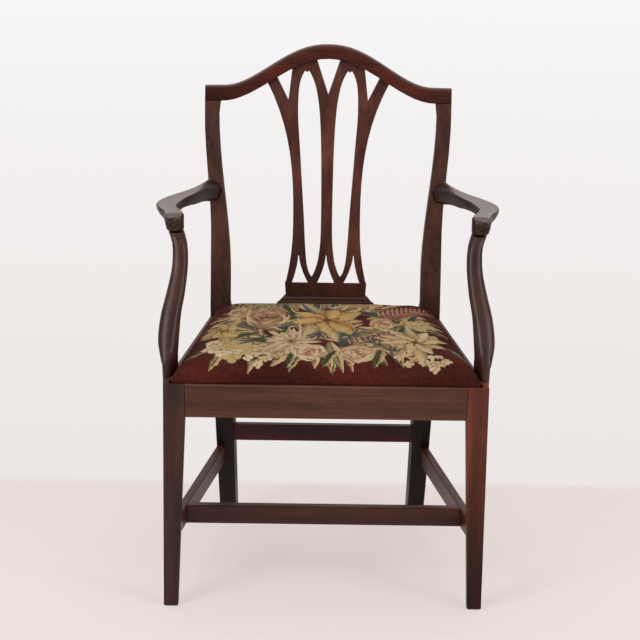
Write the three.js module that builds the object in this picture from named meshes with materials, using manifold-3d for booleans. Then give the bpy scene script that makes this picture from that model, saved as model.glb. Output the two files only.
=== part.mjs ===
// A mahogany open armchair in the late Georgian manner: an arched crest on two curved posts, a pierced
// splat of three forked uprights, outswept arms on scrolled supports, square tapered front legs joined
// by stretchers, and a stuffed seat on its own frame that drops into a rabbet in the seat rails.
// Millimetres. X runs to the sitter's left as seen from the front, Y to the back and Z up. While the
// pieces are made, Y is zero at the front faces of the front legs; the whole chair is centred at the end.
import * as THREE from 'three';
import { mergeVertices } from 'three/addons/utils/BufferGeometryUtils.js';
import Module from 'manifold-3d';

const wasm = await Module();
wasm.setup();

// Fits
const glueGap = 0.2; // between shoulders, tenons and the wood round them
const loftGap = 0.3; // between shaped surfaces that lie on each other
const cutOverrun = 2; // how far a cutter reaches past the surface it cuts
const mergeDistance = 0.0001;

// Seat frame
const seatFrontWidth = 584;
const seatBackWidth = 449; // over the posts
const seatDepth = 419; // front plane to the front faces of the posts
const railTop = 430;
const railHeight = 61;
const railThickness = 25;
const lipWidth = 7.6; // wall left outside the rabbet, measured across the chair
const rabbetDepth = 20;
const backRailThickness = 24;
const backLedge = 10; // how far the back rail's ledge stands in front of the posts
const railTenonLength = 20;
const railTenonThickness = 8;
const railTenonHeight = 38;
const sideTenonSet = 14; // from the side rail's outer face to the middle of its tenons
const backTenonLength = 15;
const edgeBevel = 1.4;

// Front legs
const legWidth = 39;
const frontFootWidth = 26.4;
const footBevel = 2.2;

// Rear legs and posts
const rearFootHalfWidth = 204.5;
const postSeatWidth = 39;
const rearFootWidth = 32;
const postSeatDepth = 38;
const rearFootDepth = 29;
const postTopDepth = 23;
const kickDrop = 100; // below the rails' top, where the rear legs begin to sweep back
const kickBack = 30;
const backLean = 87.4; // from the seat rail to the crest's joint
const backLeanPower = 1.25;
const postBevel = 1.6;
const postBackBevel = 4.5;
const waistRise = 160; // above the rails' top, where the posts begin to spread
const innerWaistRise = 80; // the same for their inner sides
const spreadDrop = 49.3; // below the top of the crest's ends, where they stop spreading
const postTopWidth = 28;
const postFlare = 3;
const postFlareHeight = 27;
const postTenonWidth = 12;
const postTenonDepth = 9;
const postTenonLength = 15;

// Crest rail
const crestHalfWidth = 239;
const backRise = 439.3; // from the rails' top to the top of the crest's ends
const crestEndHeight = 27.4;
const crestTopRise = 77.5;
const crestTopShoulder = 200;
const crestTopPower = 1.16;
const crestBottomRise = 79.2;
const crestBottomShoulder = 204;
const crestBottomPower = 1.08;
const crestBow = 11.8;
const crestDepth = 23;
const crestRounding = 5;
const crestBackRounding = 8;
const crestStations = 34;

// Splat
const splatThickness = 11;
const splatInset = 7; // behind the front of the back rail and of the crest
const splatBaseHalfWidth = 79.5;
const splatBaseTaper = 1.8; // narrower at the shoe by this on each side
const splatBaseHeight = 24.6; // above the shoe
const splatCove = 2.5; // height of the step from the base to the upright's edge
const splatWaistHalfWidth = 65.2;
const splatWaistRise = 115.8; // above the base
const splatFlare = 51;
const splatFlareRise = 29.1; // above the underside of the crest's ends
const splatFlarePower = 2.7;
const splatFootFlare = 13;
const splatFootPower = 2.2;
const slotBottomRise = 13.8; // above the base
const slotTopRise = 56.1; // above the underside of the crest's ends
const lowerWindowHeight = 52.4; // of the three small windows above the base
const lowerSillRise = 2.1; // above the base
const lowerWindowHalfWidth = 16.6;
const lowerWindowTip = 0.6; // half the width of its blunt top
const lowerWindowPower = 1.6; // its sides flare toward the sill
const outerWindowCentre = 53.5;
const outerWindowInner = 35;
const outerWindowOuter = 65.8;
const centreForkRise = 10.1; // its lowest point, above the underside of the crest's ends
const centreForkHalfWidth = 23;
const outerForkDrop = 0.9; // its lowest point, below the underside of the crest's ends
const outerForkApexHalf = 77.5;
const outerForkInner = 70.5;
const outerForkOuter = 100.5;
const lobeWidth = 8;
const lobeDrop = 2.5;
const splatTenonThickness = 7;
const splatTenonLength = 8;
const splatTenonInset = 4;
const splatFootTenon = 13; // length let into the shoe
const splatFootShoulder = 5; // the tongue in the shoe is narrower than the base by this on each side
const splatLevels = 12;

// Shoe
const shoeHeight = 40.6;
const shoeHalfWidth = 95;
const shoeBackTaper = 9; // its ends run inward by this at the back
const shoeMargin = 0.8; // wood round the splat's base at the top of the shoe
const shoePlinthHeight = 28.6;

// Stretchers
const sideStretcherTop = 160.8;
const sideStretcherInset = 9.4; // from the outer face of the front leg
const sideStretcherBackInset = 1.5;
const sideStretcherThickness = 15.8;
const stretcherHeight = 35;
const crossStretcherFront = 98;
const crossStretcherThickness = 18;
const rearStretcherTop = 204;
const rearStretcherHeight = 33;
const rearStretcherThickness = 16;
const rearStretcherInset = 3;
const stretcherTenonLength = 10;
const stretcherTenonThickness = 7;
const stretcherTenonShare = 0.64; // of the stretcher's height

// Arms
const armRise = 271; // the arm's top above the rails' top
const armDrop = 1.5; // lower at the post than at the elbow
const armThickness = 18.5; // at the elbow
const armSweep = 88; // the elbow stands this far outside the post
const armLength = 292;
const knuckleHeight = 35;
const armRootHeight = 44;
const scoopDepth = 4.5;
const noseLength = 17;
const eyeRadius = 11;
const eyeShare = 0.6; // its place between the knuckle's inner and outer sides
const eyeDrop = 15; // its middle below the arm's top
const eyeProud = 4;
const armTenonRadius = 6.5;
const armTenonLength = 16;

// Arm supports
const supportBaseY = 76;
const supportBaseWidth = 20.6;
const supportWidth = 38;
const supportDepth = 72;
const supportBow = 11;
const supportSetback = 12;
const supportInset = 2; // its top stands this far inside the middle of the knuckle
const supportLap = 50; // how far it laps down over the seat rail
const supportSides = 16;

// Drop-in seat
const seatEase = 1.2; // from the rabbet to the cover
const coverThickness = 1.5;
const seatFrameThickness = 17;
const seatFrameWidth = 52;
const seatTenonLength = 18;
const seatTenonThickness = 6;
const seatCrown = 36;
const crownDome = 6;
const crownFrontEdge = 52;
const crownSideEdge = 60;
const crownBackEdge = 30;
const seatCornerRadius = 16;
const webWidth = 50;
const webThickness = 1.6;
const webWave = 1.1;
const webPitchX = 86;
const webPitchY = 108;
const webLanding = 26; // how far a web reaches over the seat frame
const canvasThickness = 0.8;
const canvasMargin = 10;

// Corner blocks and screws
const blockHeight = 34;
const blockReach = 58;
const blockDrop = 2; // below the ledge
const screwRadius = 2;
const screwHeadRadius = 4.2;
const screwHeadHeight = 2.6;
const screwSlot = 0.9;
const screwClearance = 0.25;
const supportScrewLength = 34;
const blockScrewLength = 48;
const backScrewShare = 0.72; // of the block's reach, from the post
const backScrewSeat = 15; // wood between the head and the side rail
const armScrewLength = 50;
const armScrewLean = 8; // outward, to follow the arm
const plugRadius = 5.6;
const plugLength = 5;
const armScrewDrop = 17; // below the arm's top at the post
const screwSides = 10;

// Materials
const finishes = {
  mahogany: { color: '#4a281f', roughness: 0.36, metalness: 0 },
  lightMahogany: { color: '#5a3222', roughness: 0.38, metalness: 0 },
  beech: { color: '#b58a58', roughness: 0.7, metalness: 0 },
  needlework: { color: '#6b3a33', roughness: 0.95, metalness: 0 },
  horsehair: { color: '#3a302a', roughness: 0.95, metalness: 0 },
  jute: { color: '#a98c5f', roughness: 0.95, metalness: 0 },
  steel: { color: '#6f6a64', roughness: 0.5, metalness: 0.9 },
};
const materials = {};
for (const [name, finish] of Object.entries(finishes)) {
  materials[name] = new THREE.MeshStandardMaterial(finish);
}

const { lerp } = THREE.MathUtils;
const smooth = (value, low, high) => THREE.MathUtils.smoothstep(value, low, high);
const half = (value) => value / 2;

// Solids

function toSolid(geometry) {
  const bare = geometry.index ? geometry.toNonIndexed() : geometry.clone();
  bare.deleteAttribute('normal');
  bare.deleteAttribute('uv');
  const merged = mergeVertices(bare, mergeDistance);
  return new wasm.Manifold(new wasm.Mesh({
    numProp: 3,
    vertProperties: merged.attributes.position.array,
    triVerts: new Uint32Array(merged.index.array),
  }));
}

function toGeometry(solid) {
  const mesh = solid.getMesh();
  const geometry = new THREE.BufferGeometry();
  geometry.setAttribute('position', new THREE.BufferAttribute(mesh.vertProperties, mesh.numProp));
  geometry.setIndex(new THREE.BufferAttribute(mesh.triVerts, 1));
  return geometry;
}

const cut = (solid, ...cutters) => cutters.reduce((left, cutter) => left.subtract(cutter), solid);
const join = (solid, ...added) => added.reduce((left, piece) => left.add(piece), solid);

function signedVolume(positions, indices) {
  const [a, b, c] = [new THREE.Vector3(), new THREE.Vector3(), new THREE.Vector3()];
  let total = 0;
  for (let i = 0; i < indices.length; i += 3) {
    a.fromArray(positions, 3 * indices[i]);
    b.fromArray(positions, 3 * indices[i + 1]);
    c.fromArray(positions, 3 * indices[i + 2]);
    total += a.dot(b.cross(c));
  }
  return total;
}

// A closed solid through rings of equally many points; each end is closed by a fan about its middle.
function loft(rings) {
  const count = rings[0].length;
  const points = rings.flat();
  const indices = [];
  for (let r = 0; r + 1 < rings.length; r += 1) {
    for (let i = 0; i < count; i += 1) {
      const j = (i + 1) % count;
      const [p, q] = [r * count + i, r * count + j];
      indices.push(p, q, q + count, p, q + count, p + count);
    }
  }
  const middle = (ring) => ring.reduce((sum, p) => sum.add(p), new THREE.Vector3())
    .divideScalar(ring.length);
  const last = (rings.length - 1) * count;
  const [startCentre, endCentre] = [points.length, points.length + 1];
  points.push(middle(rings[0]), middle(rings[rings.length - 1]));
  for (let i = 0; i < count; i += 1) {
    const j = (i + 1) % count;
    indices.push(startCentre, j, i);
    indices.push(endCentre, last + i, last + j);
  }
  const positions = points.flatMap((p) => p.toArray());
  if (signedVolume(positions, indices) < 0) {
    for (let i = 0; i < indices.length; i += 3) {
      [indices[i + 1], indices[i + 2]] = [indices[i + 2], indices[i + 1]];
    }
  }
  const geometry = new THREE.BufferGeometry();
  geometry.setAttribute('position', new THREE.Float32BufferAttribute(positions, 3));
  geometry.setIndex(indices);
  return toSolid(geometry);
}

// A flat outline pulled along one axis. Along Y the outline's second coordinate is Z, and along X its
// two coordinates are Y and Z.
function prism(axis, outline, from, to) {
  const shape = outline instanceof THREE.Shape ? outline : new THREE.Shape(outline);
  const geometry = new THREE.ExtrudeGeometry(shape, { depth: to - from, bevelEnabled: false });
  const basis = new THREE.Matrix4();
  if (axis === 'x') {
    basis.makeBasis(new THREE.Vector3(0, 1, 0), new THREE.Vector3(0, 0, 1), new THREE.Vector3(1, 0, 0));
    basis.setPosition(from, 0, 0);
  } else if (axis === 'y') {
    basis.makeBasis(new THREE.Vector3(1, 0, 0), new THREE.Vector3(0, 0, 1), new THREE.Vector3(0, -1, 0));
    basis.setPosition(0, to, 0);
  } else {
    basis.setPosition(0, 0, from);
  }
  return toSolid(geometry.applyMatrix4(basis));
}

const flat = (points) => points.map(([a, b]) => new THREE.Vector2(a, b));
const spatial = (points) => points.map(([x, y, z]) => new THREE.Vector3(x, y, z));

function block(x0, x1, y0, y1, z0, z1) {
  return prism('z', flat([[x0, y0], [x1, y0], [x1, y1], [x0, y1]]), z0, z1);
}

// A straight bar of rectangular section between two points at one height, grown on all sides.
function bar(start, end, width, height, grow = 0) {
  const along = end.clone().sub(start).normalize();
  const across = new THREE.Vector3(along.y, -along.x, 0).multiplyScalar(half(width) + grow);
  const up = new THREE.Vector3(0, 0, half(height) + grow);
  const ends = [start.clone().addScaledVector(along, -grow), end.clone().addScaledVector(along, grow)];
  return loft(ends.map((p) => [
    p.clone().add(across).add(up), p.clone().sub(across).add(up),
    p.clone().sub(across).sub(up), p.clone().add(across).sub(up),
  ]));
}

function mesh(name, solid, material) {
  const piece = new THREE.Mesh(toGeometry(solid), materials[material]);
  piece.name = name;
  return piece;
}

// The left piece is made, and the right one is its reflection.
function pair(name, solid, material) {
  const left = mesh(`${name}_left`, solid, material);
  const right = mesh(`${name}_right`, solid, material);
  left.scale.x = -1;
  return [left, right];
}

const reflected = (solid) => solid.mirror([1, 0, 0]);

// More rows on a smooth curve through the given ones
function refine(rows, steps) {
  const curve = new THREE.CubicInterpolant(rows.map((row, i) => i), rows.flat(), rows[0].length);
  const count = (rows.length - 1) * steps + 1;
  return Array.from({ length: count }, (_, i) => Array.from(curve.evaluate(i / steps)));
}

// Lines that the whole chair follows

const sideShare = (y) => y / seatDepth;
const railOuter = (y) => lerp(half(seatFrontWidth), half(seatBackWidth), sideShare(y));
const railInner = (y) => railOuter(y) - railThickness;
const lipInner = (y) => railOuter(y) - lipWidth;
const splay = Math.atan((half(seatFrontWidth) - half(seatBackWidth)) / seatDepth);
const railBottom = railTop - railHeight;
const ledgeTop = railTop - rabbetDepth;
const railMiddle = railTop - half(railHeight);
const kickStart = railTop - kickDrop;
const waistHeight = railTop + waistRise;
const innerWaistHeight = railTop + innerWaistRise;
const armTop = railTop + armRise;
const eyeHeight = armTop - eyeDrop;
const crestEndTop = railTop + backRise;
const crestEndBottom = crestEndTop - crestEndHeight;
const crestJoint = crestEndBottom;
const spreadHeight = crestEndTop - spreadDrop;

function backFront(z) {
  if (z >= railTop) {
    const share = (z - railTop) / (crestEndTop - railTop);
    return seatDepth + backLean * share ** backLeanPower;
  }
  const drop = Math.max(0, (kickStart - z) / kickStart);
  return seatDepth + kickBack * drop * drop;
}

function postOuter(z) {
  const seatHalf = half(seatBackWidth);
  if (z < railTop) return lerp(rearFootHalfWidth, seatHalf, z / railTop);
  return lerp(seatHalf, crestHalfWidth, smooth(z, waistHeight, spreadHeight));
}

function postInner(z) {
  const seatInner = half(seatBackWidth) - postSeatWidth;
  if (z < railTop) return postOuter(z) - lerp(rearFootWidth, postSeatWidth, z / railTop);
  const topInner = crestHalfWidth - postTopWidth;
  const flare = postFlare * smooth(z, crestJoint - postFlareHeight, crestJoint);
  return lerp(seatInner, topInner, smooth(z, innerWaistHeight, spreadHeight)) - flare;
}

function postDepth(z) {
  if (z < railTop) return lerp(rearFootDepth, postSeatDepth, z / railTop);
  return lerp(postSeatDepth, postTopDepth, (z - railTop) / (crestJoint - railTop));
}

// The sides of the rear legs lie along the splayed seat rails, and square up above the seat.
const postSkewHeight = 24;
const postSkew = (z) => Math.tan(splay) * (1 - smooth(z, railTop, railTop + postSkewHeight));

const frontLegWidth = (z) => (z >= railBottom ? legWidth : lerp(frontFootWidth, legWidth, z / railBottom));

// Everything that the drop-in seat needs open above the ledge.
function seatWell() {
  const front = lipWidth;
  const outline = flat([
    [-lipInner(front), front], [lipInner(front), front],
    [lipInner(seatDepth), seatDepth], [-lipInner(seatDepth), seatDepth],
  ]);
  return prism('z', outline, ledgeTop, railTop + cutOverrun);
}

// Tenons. Each returns the tenon and, a little larger, its mortise.
function tenon(start, end, width, height) {
  return [bar(start, end, width, height), bar(start, end, width, height, glueGap)];
}

const at = (x, y, z) => new THREE.Vector3(x, y, z);

// Seat rail tenons at the right-hand front leg
function frontRailTenon() {
  const inner = half(seatFrontWidth) - legWidth;
  const y = half(railThickness);
  const z = railMiddle - half(rabbetDepth);
  return tenon(at(inner - cutOverrun, y, z), at(inner + railTenonLength, y, z),
    railTenonThickness, railTenonHeight);
}

function sideRailTenon(atBack) {
  const middle = (y) => railOuter(y) - sideTenonSet;
  const z = railMiddle - half(rabbetDepth);
  const root = atBack ? seatDepth - cutOverrun : legWidth + cutOverrun;
  const tip = atBack ? seatDepth + railTenonLength : legWidth - railTenonLength;
  return tenon(at(middle(root), root, z), at(middle(tip), tip, z), railTenonThickness, railTenonHeight);
}

function backRailTenon() {
  const z = railMiddle;
  const inner = postInner(z);
  const y = seatDepth + half(backRailThickness) + cutOverrun;
  return tenon(at(inner - backTenonLength, y, z), at(inner + backTenonLength, y, z),
    railTenonThickness, railTenonHeight);
}

// Stretcher centre lines on the right-hand side
const stretcherMiddle = sideStretcherTop - half(stretcherHeight);
const stretcherTenonHeight = stretcherHeight * stretcherTenonShare;
const rearStretcherMiddle = rearStretcherTop - half(rearStretcherHeight);

function sideStretcherLine() {
  const z = stretcherMiddle;
  const startY = frontLegWidth(z) + glueGap;
  const endY = backFront(z) - glueGap;
  const startX = half(seatFrontWidth) - sideStretcherInset - half(sideStretcherThickness);
  const endX = postOuter(z) - sideStretcherBackInset - half(sideStretcherThickness);
  return [at(startX, startY, z), at(endX, endY, z)];
}

function sideStretcherTenon(atBack) {
  const [start, end] = sideStretcherLine();
  const along = end.clone().sub(start).normalize();
  const shoulder = atBack ? end : start;
  const outward = atBack ? along : along.clone().negate();
  const root = shoulder.clone().addScaledVector(outward, -cutOverrun);
  const tip = shoulder.clone().addScaledVector(outward, stretcherTenonLength);
  return tenon(root, tip, stretcherTenonThickness, stretcherTenonHeight);
}

function crossStretcherEnd() {
  const [start, end] = sideStretcherLine();
  const y = crossStretcherFront + half(crossStretcherThickness);
  const share = (y - start.y) / (end.y - start.y);
  return lerp(start.x, end.x, share) - half(sideStretcherThickness);
}

function crossStretcherTenon() {
  const x = crossStretcherEnd();
  const y = crossStretcherFront + half(crossStretcherThickness);
  return tenon(at(x - stretcherTenonLength, y, stretcherMiddle),
    at(x + stretcherTenonLength, y, stretcherMiddle), stretcherTenonThickness, stretcherTenonHeight);
}

const rearStretcherY = backFront(rearStretcherMiddle) + rearStretcherInset + half(rearStretcherThickness);

function rearStretcherTenon() {
  const z = rearStretcherMiddle;
  const x = postInner(z);
  return tenon(at(x - railTenonLength, rearStretcherY, z), at(x + stretcherTenonLength, rearStretcherY, z),
    stretcherTenonThickness, rearStretcherHeight * stretcherTenonShare);
}

// Screws. A screw is made pointing along +Z with its head's top at the origin, then turned into place.
function screwPlace(head, tip) {
  const along = tip.clone().sub(head).normalize();
  const turn = new THREE.Quaternion().setFromUnitVectors(new THREE.Vector3(0, 0, 1), along);
  return new THREE.Matrix4().compose(head, turn, new THREE.Vector3(1, 1, 1));
}

function turned(profile, sides, place) {
  const geometry = new THREE.LatheGeometry(flat(profile), sides);
  geometry.rotateX(Math.PI / 2);
  return toSolid(geometry.applyMatrix4(place));
}

function screw(head, tip) {
  const place = screwPlace(head, tip);
  const length = tip.distanceTo(head);
  const body = turned([
    [0, 0], [screwHeadRadius, 0], [screwRadius, screwHeadHeight],
    [screwRadius, length - screwHeadHeight], [0, length],
  ], screwSides, place);
  const slot = new THREE.BoxGeometry(2 * screwHeadRadius + cutOverrun, screwSlot, 2 * screwSlot);
  return cut(body, toSolid(slot.applyMatrix4(place)));
}

// The hole that a screw fits, with a countersink and, where asked, a deeper bore behind the head.
function screwHole(head, tip, boreLength = cutOverrun, boreRadius = screwHeadRadius) {
  const place = screwPlace(head, tip);
  const length = tip.distanceTo(head);
  const ease = screwClearance;
  return turned([
    [0, -boreLength], [boreRadius + ease, -boreLength], [boreRadius + ease, 0],
    [screwHeadRadius + ease, 0], [screwRadius + ease, screwHeadHeight + ease],
    [screwRadius + ease, length], [0, length + ease],
  ].filter(([x, y], i, all) => i === 0 || x !== all[i - 1][0] || y !== all[i - 1][1]), screwSides, place);
}

// The wooden plug that hides an arm screw's head
function armPlug() {
  const [head, tip] = armScrewEnds();
  const place = screwPlace(head, tip);
  const [near, far] = [-loftGap, -plugLength];
  return turned([[0, far], [plugRadius, far], [plugRadius, near], [0, near]], screwSides, place);
}

// Places of the screws on the right-hand side
function supportScrewEnds() {
  const z = railTop - half(supportLap);
  const heads = [supportBaseY - half(supportDepth) / 2, supportBaseY + half(supportDepth) / 2];
  const outward = new THREE.Vector3(Math.cos(splay), Math.sin(splay), 0);
  return heads.map((y) => {
    const head = at(railInner(y), y, z);
    return [head, head.clone().addScaledVector(outward, supportScrewLength)];
  });
}

const armScrewZ = armTop - armDrop - armScrewDrop;

function armScrewEnds() {
  const x = (postInner(armScrewZ) + postOuter(armScrewZ)) / 2;
  const back = backFront(armScrewZ) + postDepth(armScrewZ);
  const head = at(x, back - plugLength, armScrewZ);
  return [head, head.clone().add(at(armScrewLean, -armScrewLength, 0))];
}

const blockScrewZ = ledgeTop - blockDrop - half(blockHeight);

// The front block's screw runs square through its sloping face into the leg's inner corner.
function frontBlockScrewEnds() {
  const [a, b] = frontBlockOutline().slice(-2).map(([x, y]) => at(x, y, blockScrewZ));
  const middle = a.clone().lerp(b, 1 / 2);
  const along = b.clone().sub(a).normalize();
  const outward = at(-along.y, along.x, 0);
  return [middle, middle.clone().addScaledVector(outward, blockScrewLength)];
}

// The back block's screw is sunk in a bore and runs square into the side rail.
function backBlockScrewEnds() {
  const y = seatDepth - blockReach * backScrewShare;
  const head = at(railInner(y) - backScrewSeat, y, blockScrewZ);
  const outward = at(Math.cos(splay), Math.sin(splay), 0);
  return [head, head.clone().addScaledVector(outward, supportScrewLength)];
}

function frontBlockOutline() {
  const ease = glueGap;
  const legInner = half(seatFrontWidth) - legWidth;
  const front = railThickness + ease;
  const side = (y) => railInner(y) - ease;
  const y = legWidth + ease;
  return [
    [legInner - ease, front], [legInner - ease, y], [side(y), y],
    [side(y + blockReach), y + blockReach], [legInner - blockReach, front],
  ];
}

function backBlockOutline() {
  const ease = glueGap;
  const side = (y) => railInner(y) - ease;
  const y = seatDepth - ease;
  const railFront = seatDepth - backLedge - ease;
  const railEnd = half(seatBackWidth) - postSeatWidth + ease;
  return [
    [railEnd - blockReach, railFront], [railEnd, railFront], [railEnd, y], [side(y), y],
    [side(y - blockReach), y - blockReach],
  ];
}

// Pieces

function frontLeg() {
  const outer = half(seatFrontWidth);
  const ring = (z, inset) => {
    const width = frontLegWidth(z) - inset;
    const bevel = edgeBevel;
    const [x0, x1, y0, y1] = [outer - width, outer - inset, inset, width];
    return spatial([
      [x0 + bevel, y0, z], [x1 - bevel, y0, z], [x1, y0 + bevel, z], [x1, y1 - bevel, z],
      [x1 - bevel, y1, z], [x0 + bevel, y1, z], [x0, y1 - bevel, z], [x0, y0 + bevel, z],
    ]);
  };
  const body = loft([
    ring(0, footBevel), ring(footBevel, 0), ring(railBottom, 0), ring(railTop, 0),
  ]);
  const [blockHead, blockTip] = frontBlockScrewEnds();
  return cut(body, seatWell(), frontRailTenon()[1], sideRailTenon(false)[1],
    sideStretcherTenon(false)[1], screwHole(blockHead, blockTip));
}

function post() {
  const ring = (z, inset = 0) => {
    const [front, back] = [backFront(z) + inset, backFront(z) + postDepth(z) - inset];
    const [bevel, backBevel] = [postBevel, postBackBevel];
    const [outer, inner] = [postOuter(z) - inset, postInner(z) + inset];
    const slide = (y) => postSkew(z) * (y - front);
    return [
      [inner + bevel, front], [outer - bevel, front], [outer, front + bevel],
      [outer, back - backBevel], [outer - backBevel, back], [inner + backBevel, back],
      [inner, back - backBevel], [inner, front + bevel],
    ].map(([x, y]) => at(x - slide(y), y, z));
  };
  const lowerShares = [0.15, 0.32, 0.5, 0.68];
  const upperShares = [0.06, 0.15, 0.24, 0.33, 0.42, 0.51, 0.6, 0.69, 0.78, 0.87, 0.94, 1];
  const body = loft([
    ring(0, footBevel), ring(footBevel),
    ...lowerShares.map((share) => ring(share * railTop)), ring(railBottom), ring(railTop),
    ...upperShares.map((share) => ring(lerp(railTop, crestJoint - glueGap, share))),
  ]);
  const [tenonSolid] = postTenon();
  const [armHead, armTip] = armScrewEnds();
  return join(cut(body,
    backRailTenon()[1], sideRailTenon(true)[1],
    sideStretcherTenon(true)[1], rearStretcherTenon()[1],
    screwHole(armHead, armTip, plugLength + cutOverrun, plugRadius)), tenonSolid);
}

function postTenon() {
  const z = crestJoint;
  const x = (postOuter(z) + postInner(z)) / 2;
  const y = backFront(z) + half(postDepth(z));
  const make = (grow) => block(x - half(postTenonWidth) - grow, x + half(postTenonWidth) + grow,
    y - half(postTenonDepth) - grow, y + half(postTenonDepth) + grow,
    z - cutOverrun, z + postTenonLength + grow);
  return [make(0), make(glueGap)];
}

const crestTopLine = (x) => crestEndTop + crestTopRise
  * (1 - smooth((Math.abs(x) / crestTopShoulder) ** crestTopPower, 0, 1));
const crestBottomLine = (x) => crestEndBottom + crestBottomRise
  * (1 - smooth((Math.abs(x) / crestBottomShoulder) ** crestBottomPower, 0, 1));
const crestFront = (x, z) => backFront(z) + crestBow * (1 - (x / crestHalfWidth) ** 2);

const crestStationX = (i) => lerp(-crestHalfWidth, crestHalfWidth, i / crestStations);
const crestStationList = Array.from({ length: crestStations + 1 }, (_, i) => crestStationX(i));

// Everything above the crest's underside
function crestSpace() {
  const ceiling = crestEndTop + crestTopRise + cutOverrun;
  const line = crestStationList.map((x) => [x, crestBottomLine(x) - glueGap]);
  const outline = [[crestHalfWidth, ceiling], [-crestHalfWidth, ceiling], ...line];
  return prism('y', flat(outline), seatDepth, seatDepth + 2 * backLean);
}

function crest() {
  const ring = (x) => {
    const [low, high] = [crestBottomLine(x), crestTopLine(x)];
    const [front, back] = [crestRounding, crestBackRounding];
    const [soft, softBack] = [front, back].map((radius) => radius * (1 - Math.SQRT1_2));
    const section = [
      [edgeBevel, low], [0, low + edgeBevel], [0, high - front], [soft, high - soft],
      [front, high], [crestDepth - back, high], [crestDepth - softBack, high - softBack],
      [crestDepth, high - back], [crestDepth, low + edgeBevel], [crestDepth - edgeBevel, low],
    ];
    return section.map(([y, z]) => at(x, crestFront(x, z) + y, z));
  };
  const mortises = [postTenon()[1], ...splatTenons(glueGap)];
  return cut(loft(crestStationList.map(ring)), ...mortises, ...mortises.map(reflected));
}

// The splat's face is a little behind the front of the posts and of the crest.
const splatBaseTop = railTop + shoeHeight + splatBaseHeight;
const splatWaistHeight = splatBaseTop + splatWaistRise;
const splatFlareTop = crestEndBottom + splatFlareRise;
const slotBottom = splatBaseTop + slotBottomRise;
const slotTop = crestEndBottom + slotTopRise;
const lowerSill = splatBaseTop + lowerSillRise;
const lowerApex = lowerSill + lowerWindowHeight;
const centreForkApex = crestEndBottom + centreForkRise;
const outerForkApex = crestEndBottom - outerForkDrop;
const splatFront = (z) => backFront(z) + splatInset
  + crestBow * smooth(z, splatBaseTop, crestEndTop);
const splatBottom = railTop + shoeHeight - splatFootTenon;

// The splat's tongues that enter the crest: two on the forked outer uprights' tips, two on the heads
function splatTenons(grow) {
  const spans = [[centreForkHalfWidth, outerForkInner], [outerForkOuter, splatFlareTopHalf()]];
  return spans.map(([x0, x1]) => {
    const [from, to] = [x0 + splatTenonInset - grow, x1 - splatTenonInset + grow];
    const middle = (from + to) / 2;
    const base = crestBottomLine(middle);
    const y = splatFront(base) + half(splatThickness);
    const outline = flat([
      [from, crestBottomLine(from) - splatTenonLength], [to, crestBottomLine(to) - splatTenonLength],
      [to, crestBottomLine(to) + splatTenonLength + grow],
      [from, crestBottomLine(from) + splatTenonLength + grow],
    ]);
    return prism('y', outline, y - half(splatTenonThickness) - grow, y + half(splatTenonThickness) + grow);
  });
}

const splatFlareTopHalf = () => splatWaistHalfWidth + splatFlare;

function splatOuter(z) {
  if (z >= splatWaistHeight) {
    const share = (z - splatWaistHeight) / (splatFlareTop - splatWaistHeight);
    return splatWaistHalfWidth + splatFlare * share ** splatFlarePower;
  }
  const share = (splatWaistHeight - z) / (splatWaistHeight - splatBaseTop);
  return splatWaistHalfWidth + splatFootFlare * share ** splatFootPower;
}

// Half of one long slot: height as a share of the slot, then its inner and outer edges as shares of
// the splat's half width at its waist.
const slotShares = [
  [0, 0.424, 0.424], [0.018, 0.364, 0.5], [0.059, 0.275, 0.57], [0.097, 0.228, 0.6],
  [0.176, 0.178, 0.64], [0.296, 0.167, 0.68], [0.49, 0.175, 0.765], [0.643, 0.195, 0.83],
  [0.758, 0.23, 0.885], [0.844, 0.28, 0.894], [0.918, 0.364, 0.871], [0.959, 0.447, 0.818],
  [0.987, 0.53, 0.75],
];

function slotPath() {
  const point = (share, x) => [x * splatWaistHalfWidth, lerp(slotBottom, slotTop, share)];
  const rows = refine(slotShares, 2);
  const rising = rows.map(([share, , outer]) => point(share, outer));
  const falling = rows.slice(1).reverse().map(([share, inner]) => point(share, inner));
  const lobeX = splatWaistHalfWidth * (slotShares.at(-1)[1] + slotShares.at(-1)[2]) / 2;
  const lobe = [[lobeX + half(lobeWidth), slotTop], [lobeX, slotTop - lobeDrop],
    [lobeX - half(lobeWidth), slotTop]];
  return [...rising, ...lobe, ...falling];
}

function splatOutline() {
  const tongue = splatBaseHalfWidth - splatFootShoulder;
  const seat = railTop + shoeHeight + glueGap;
  const right = [[tongue, splatBottom], [tongue, seat], [splatBaseHalfWidth - splatBaseTaper, seat],
    [splatBaseHalfWidth, splatBaseTop]];
  const levels = 14;
  const shoulder = crestBottomLine(splatFlareTopHalf()) + cutOverrun;
  for (let i = 0; i <= levels; i += 1) {
    const z = lerp(splatBaseTop + splatCove, shoulder, i / levels);
    right.push([splatOuter(z), z]);
  }
  // The forks' edges run on a little into the crest, whose space is then cut away.
  const pastCrest = (apexX, apexZ, x) => {
    const z = crestBottomLine(x);
    const share = 1 + cutOverrun / (z - apexZ);
    return [lerp(apexX, x, share), lerp(apexZ, z, share)];
  };
  right.push(pastCrest(outerForkApexHalf, outerForkApex, outerForkOuter));
  right.push([outerForkApexHalf, outerForkApex]);
  right.push(pastCrest(outerForkApexHalf, outerForkApex, outerForkInner));
  right.push(pastCrest(0, centreForkApex, centreForkHalfWidth), [0, centreForkApex]);
  const left = right.slice(0, -1).reverse().map(([x, z]) => [-x, z]);
  return [...right, ...left];
}

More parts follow.
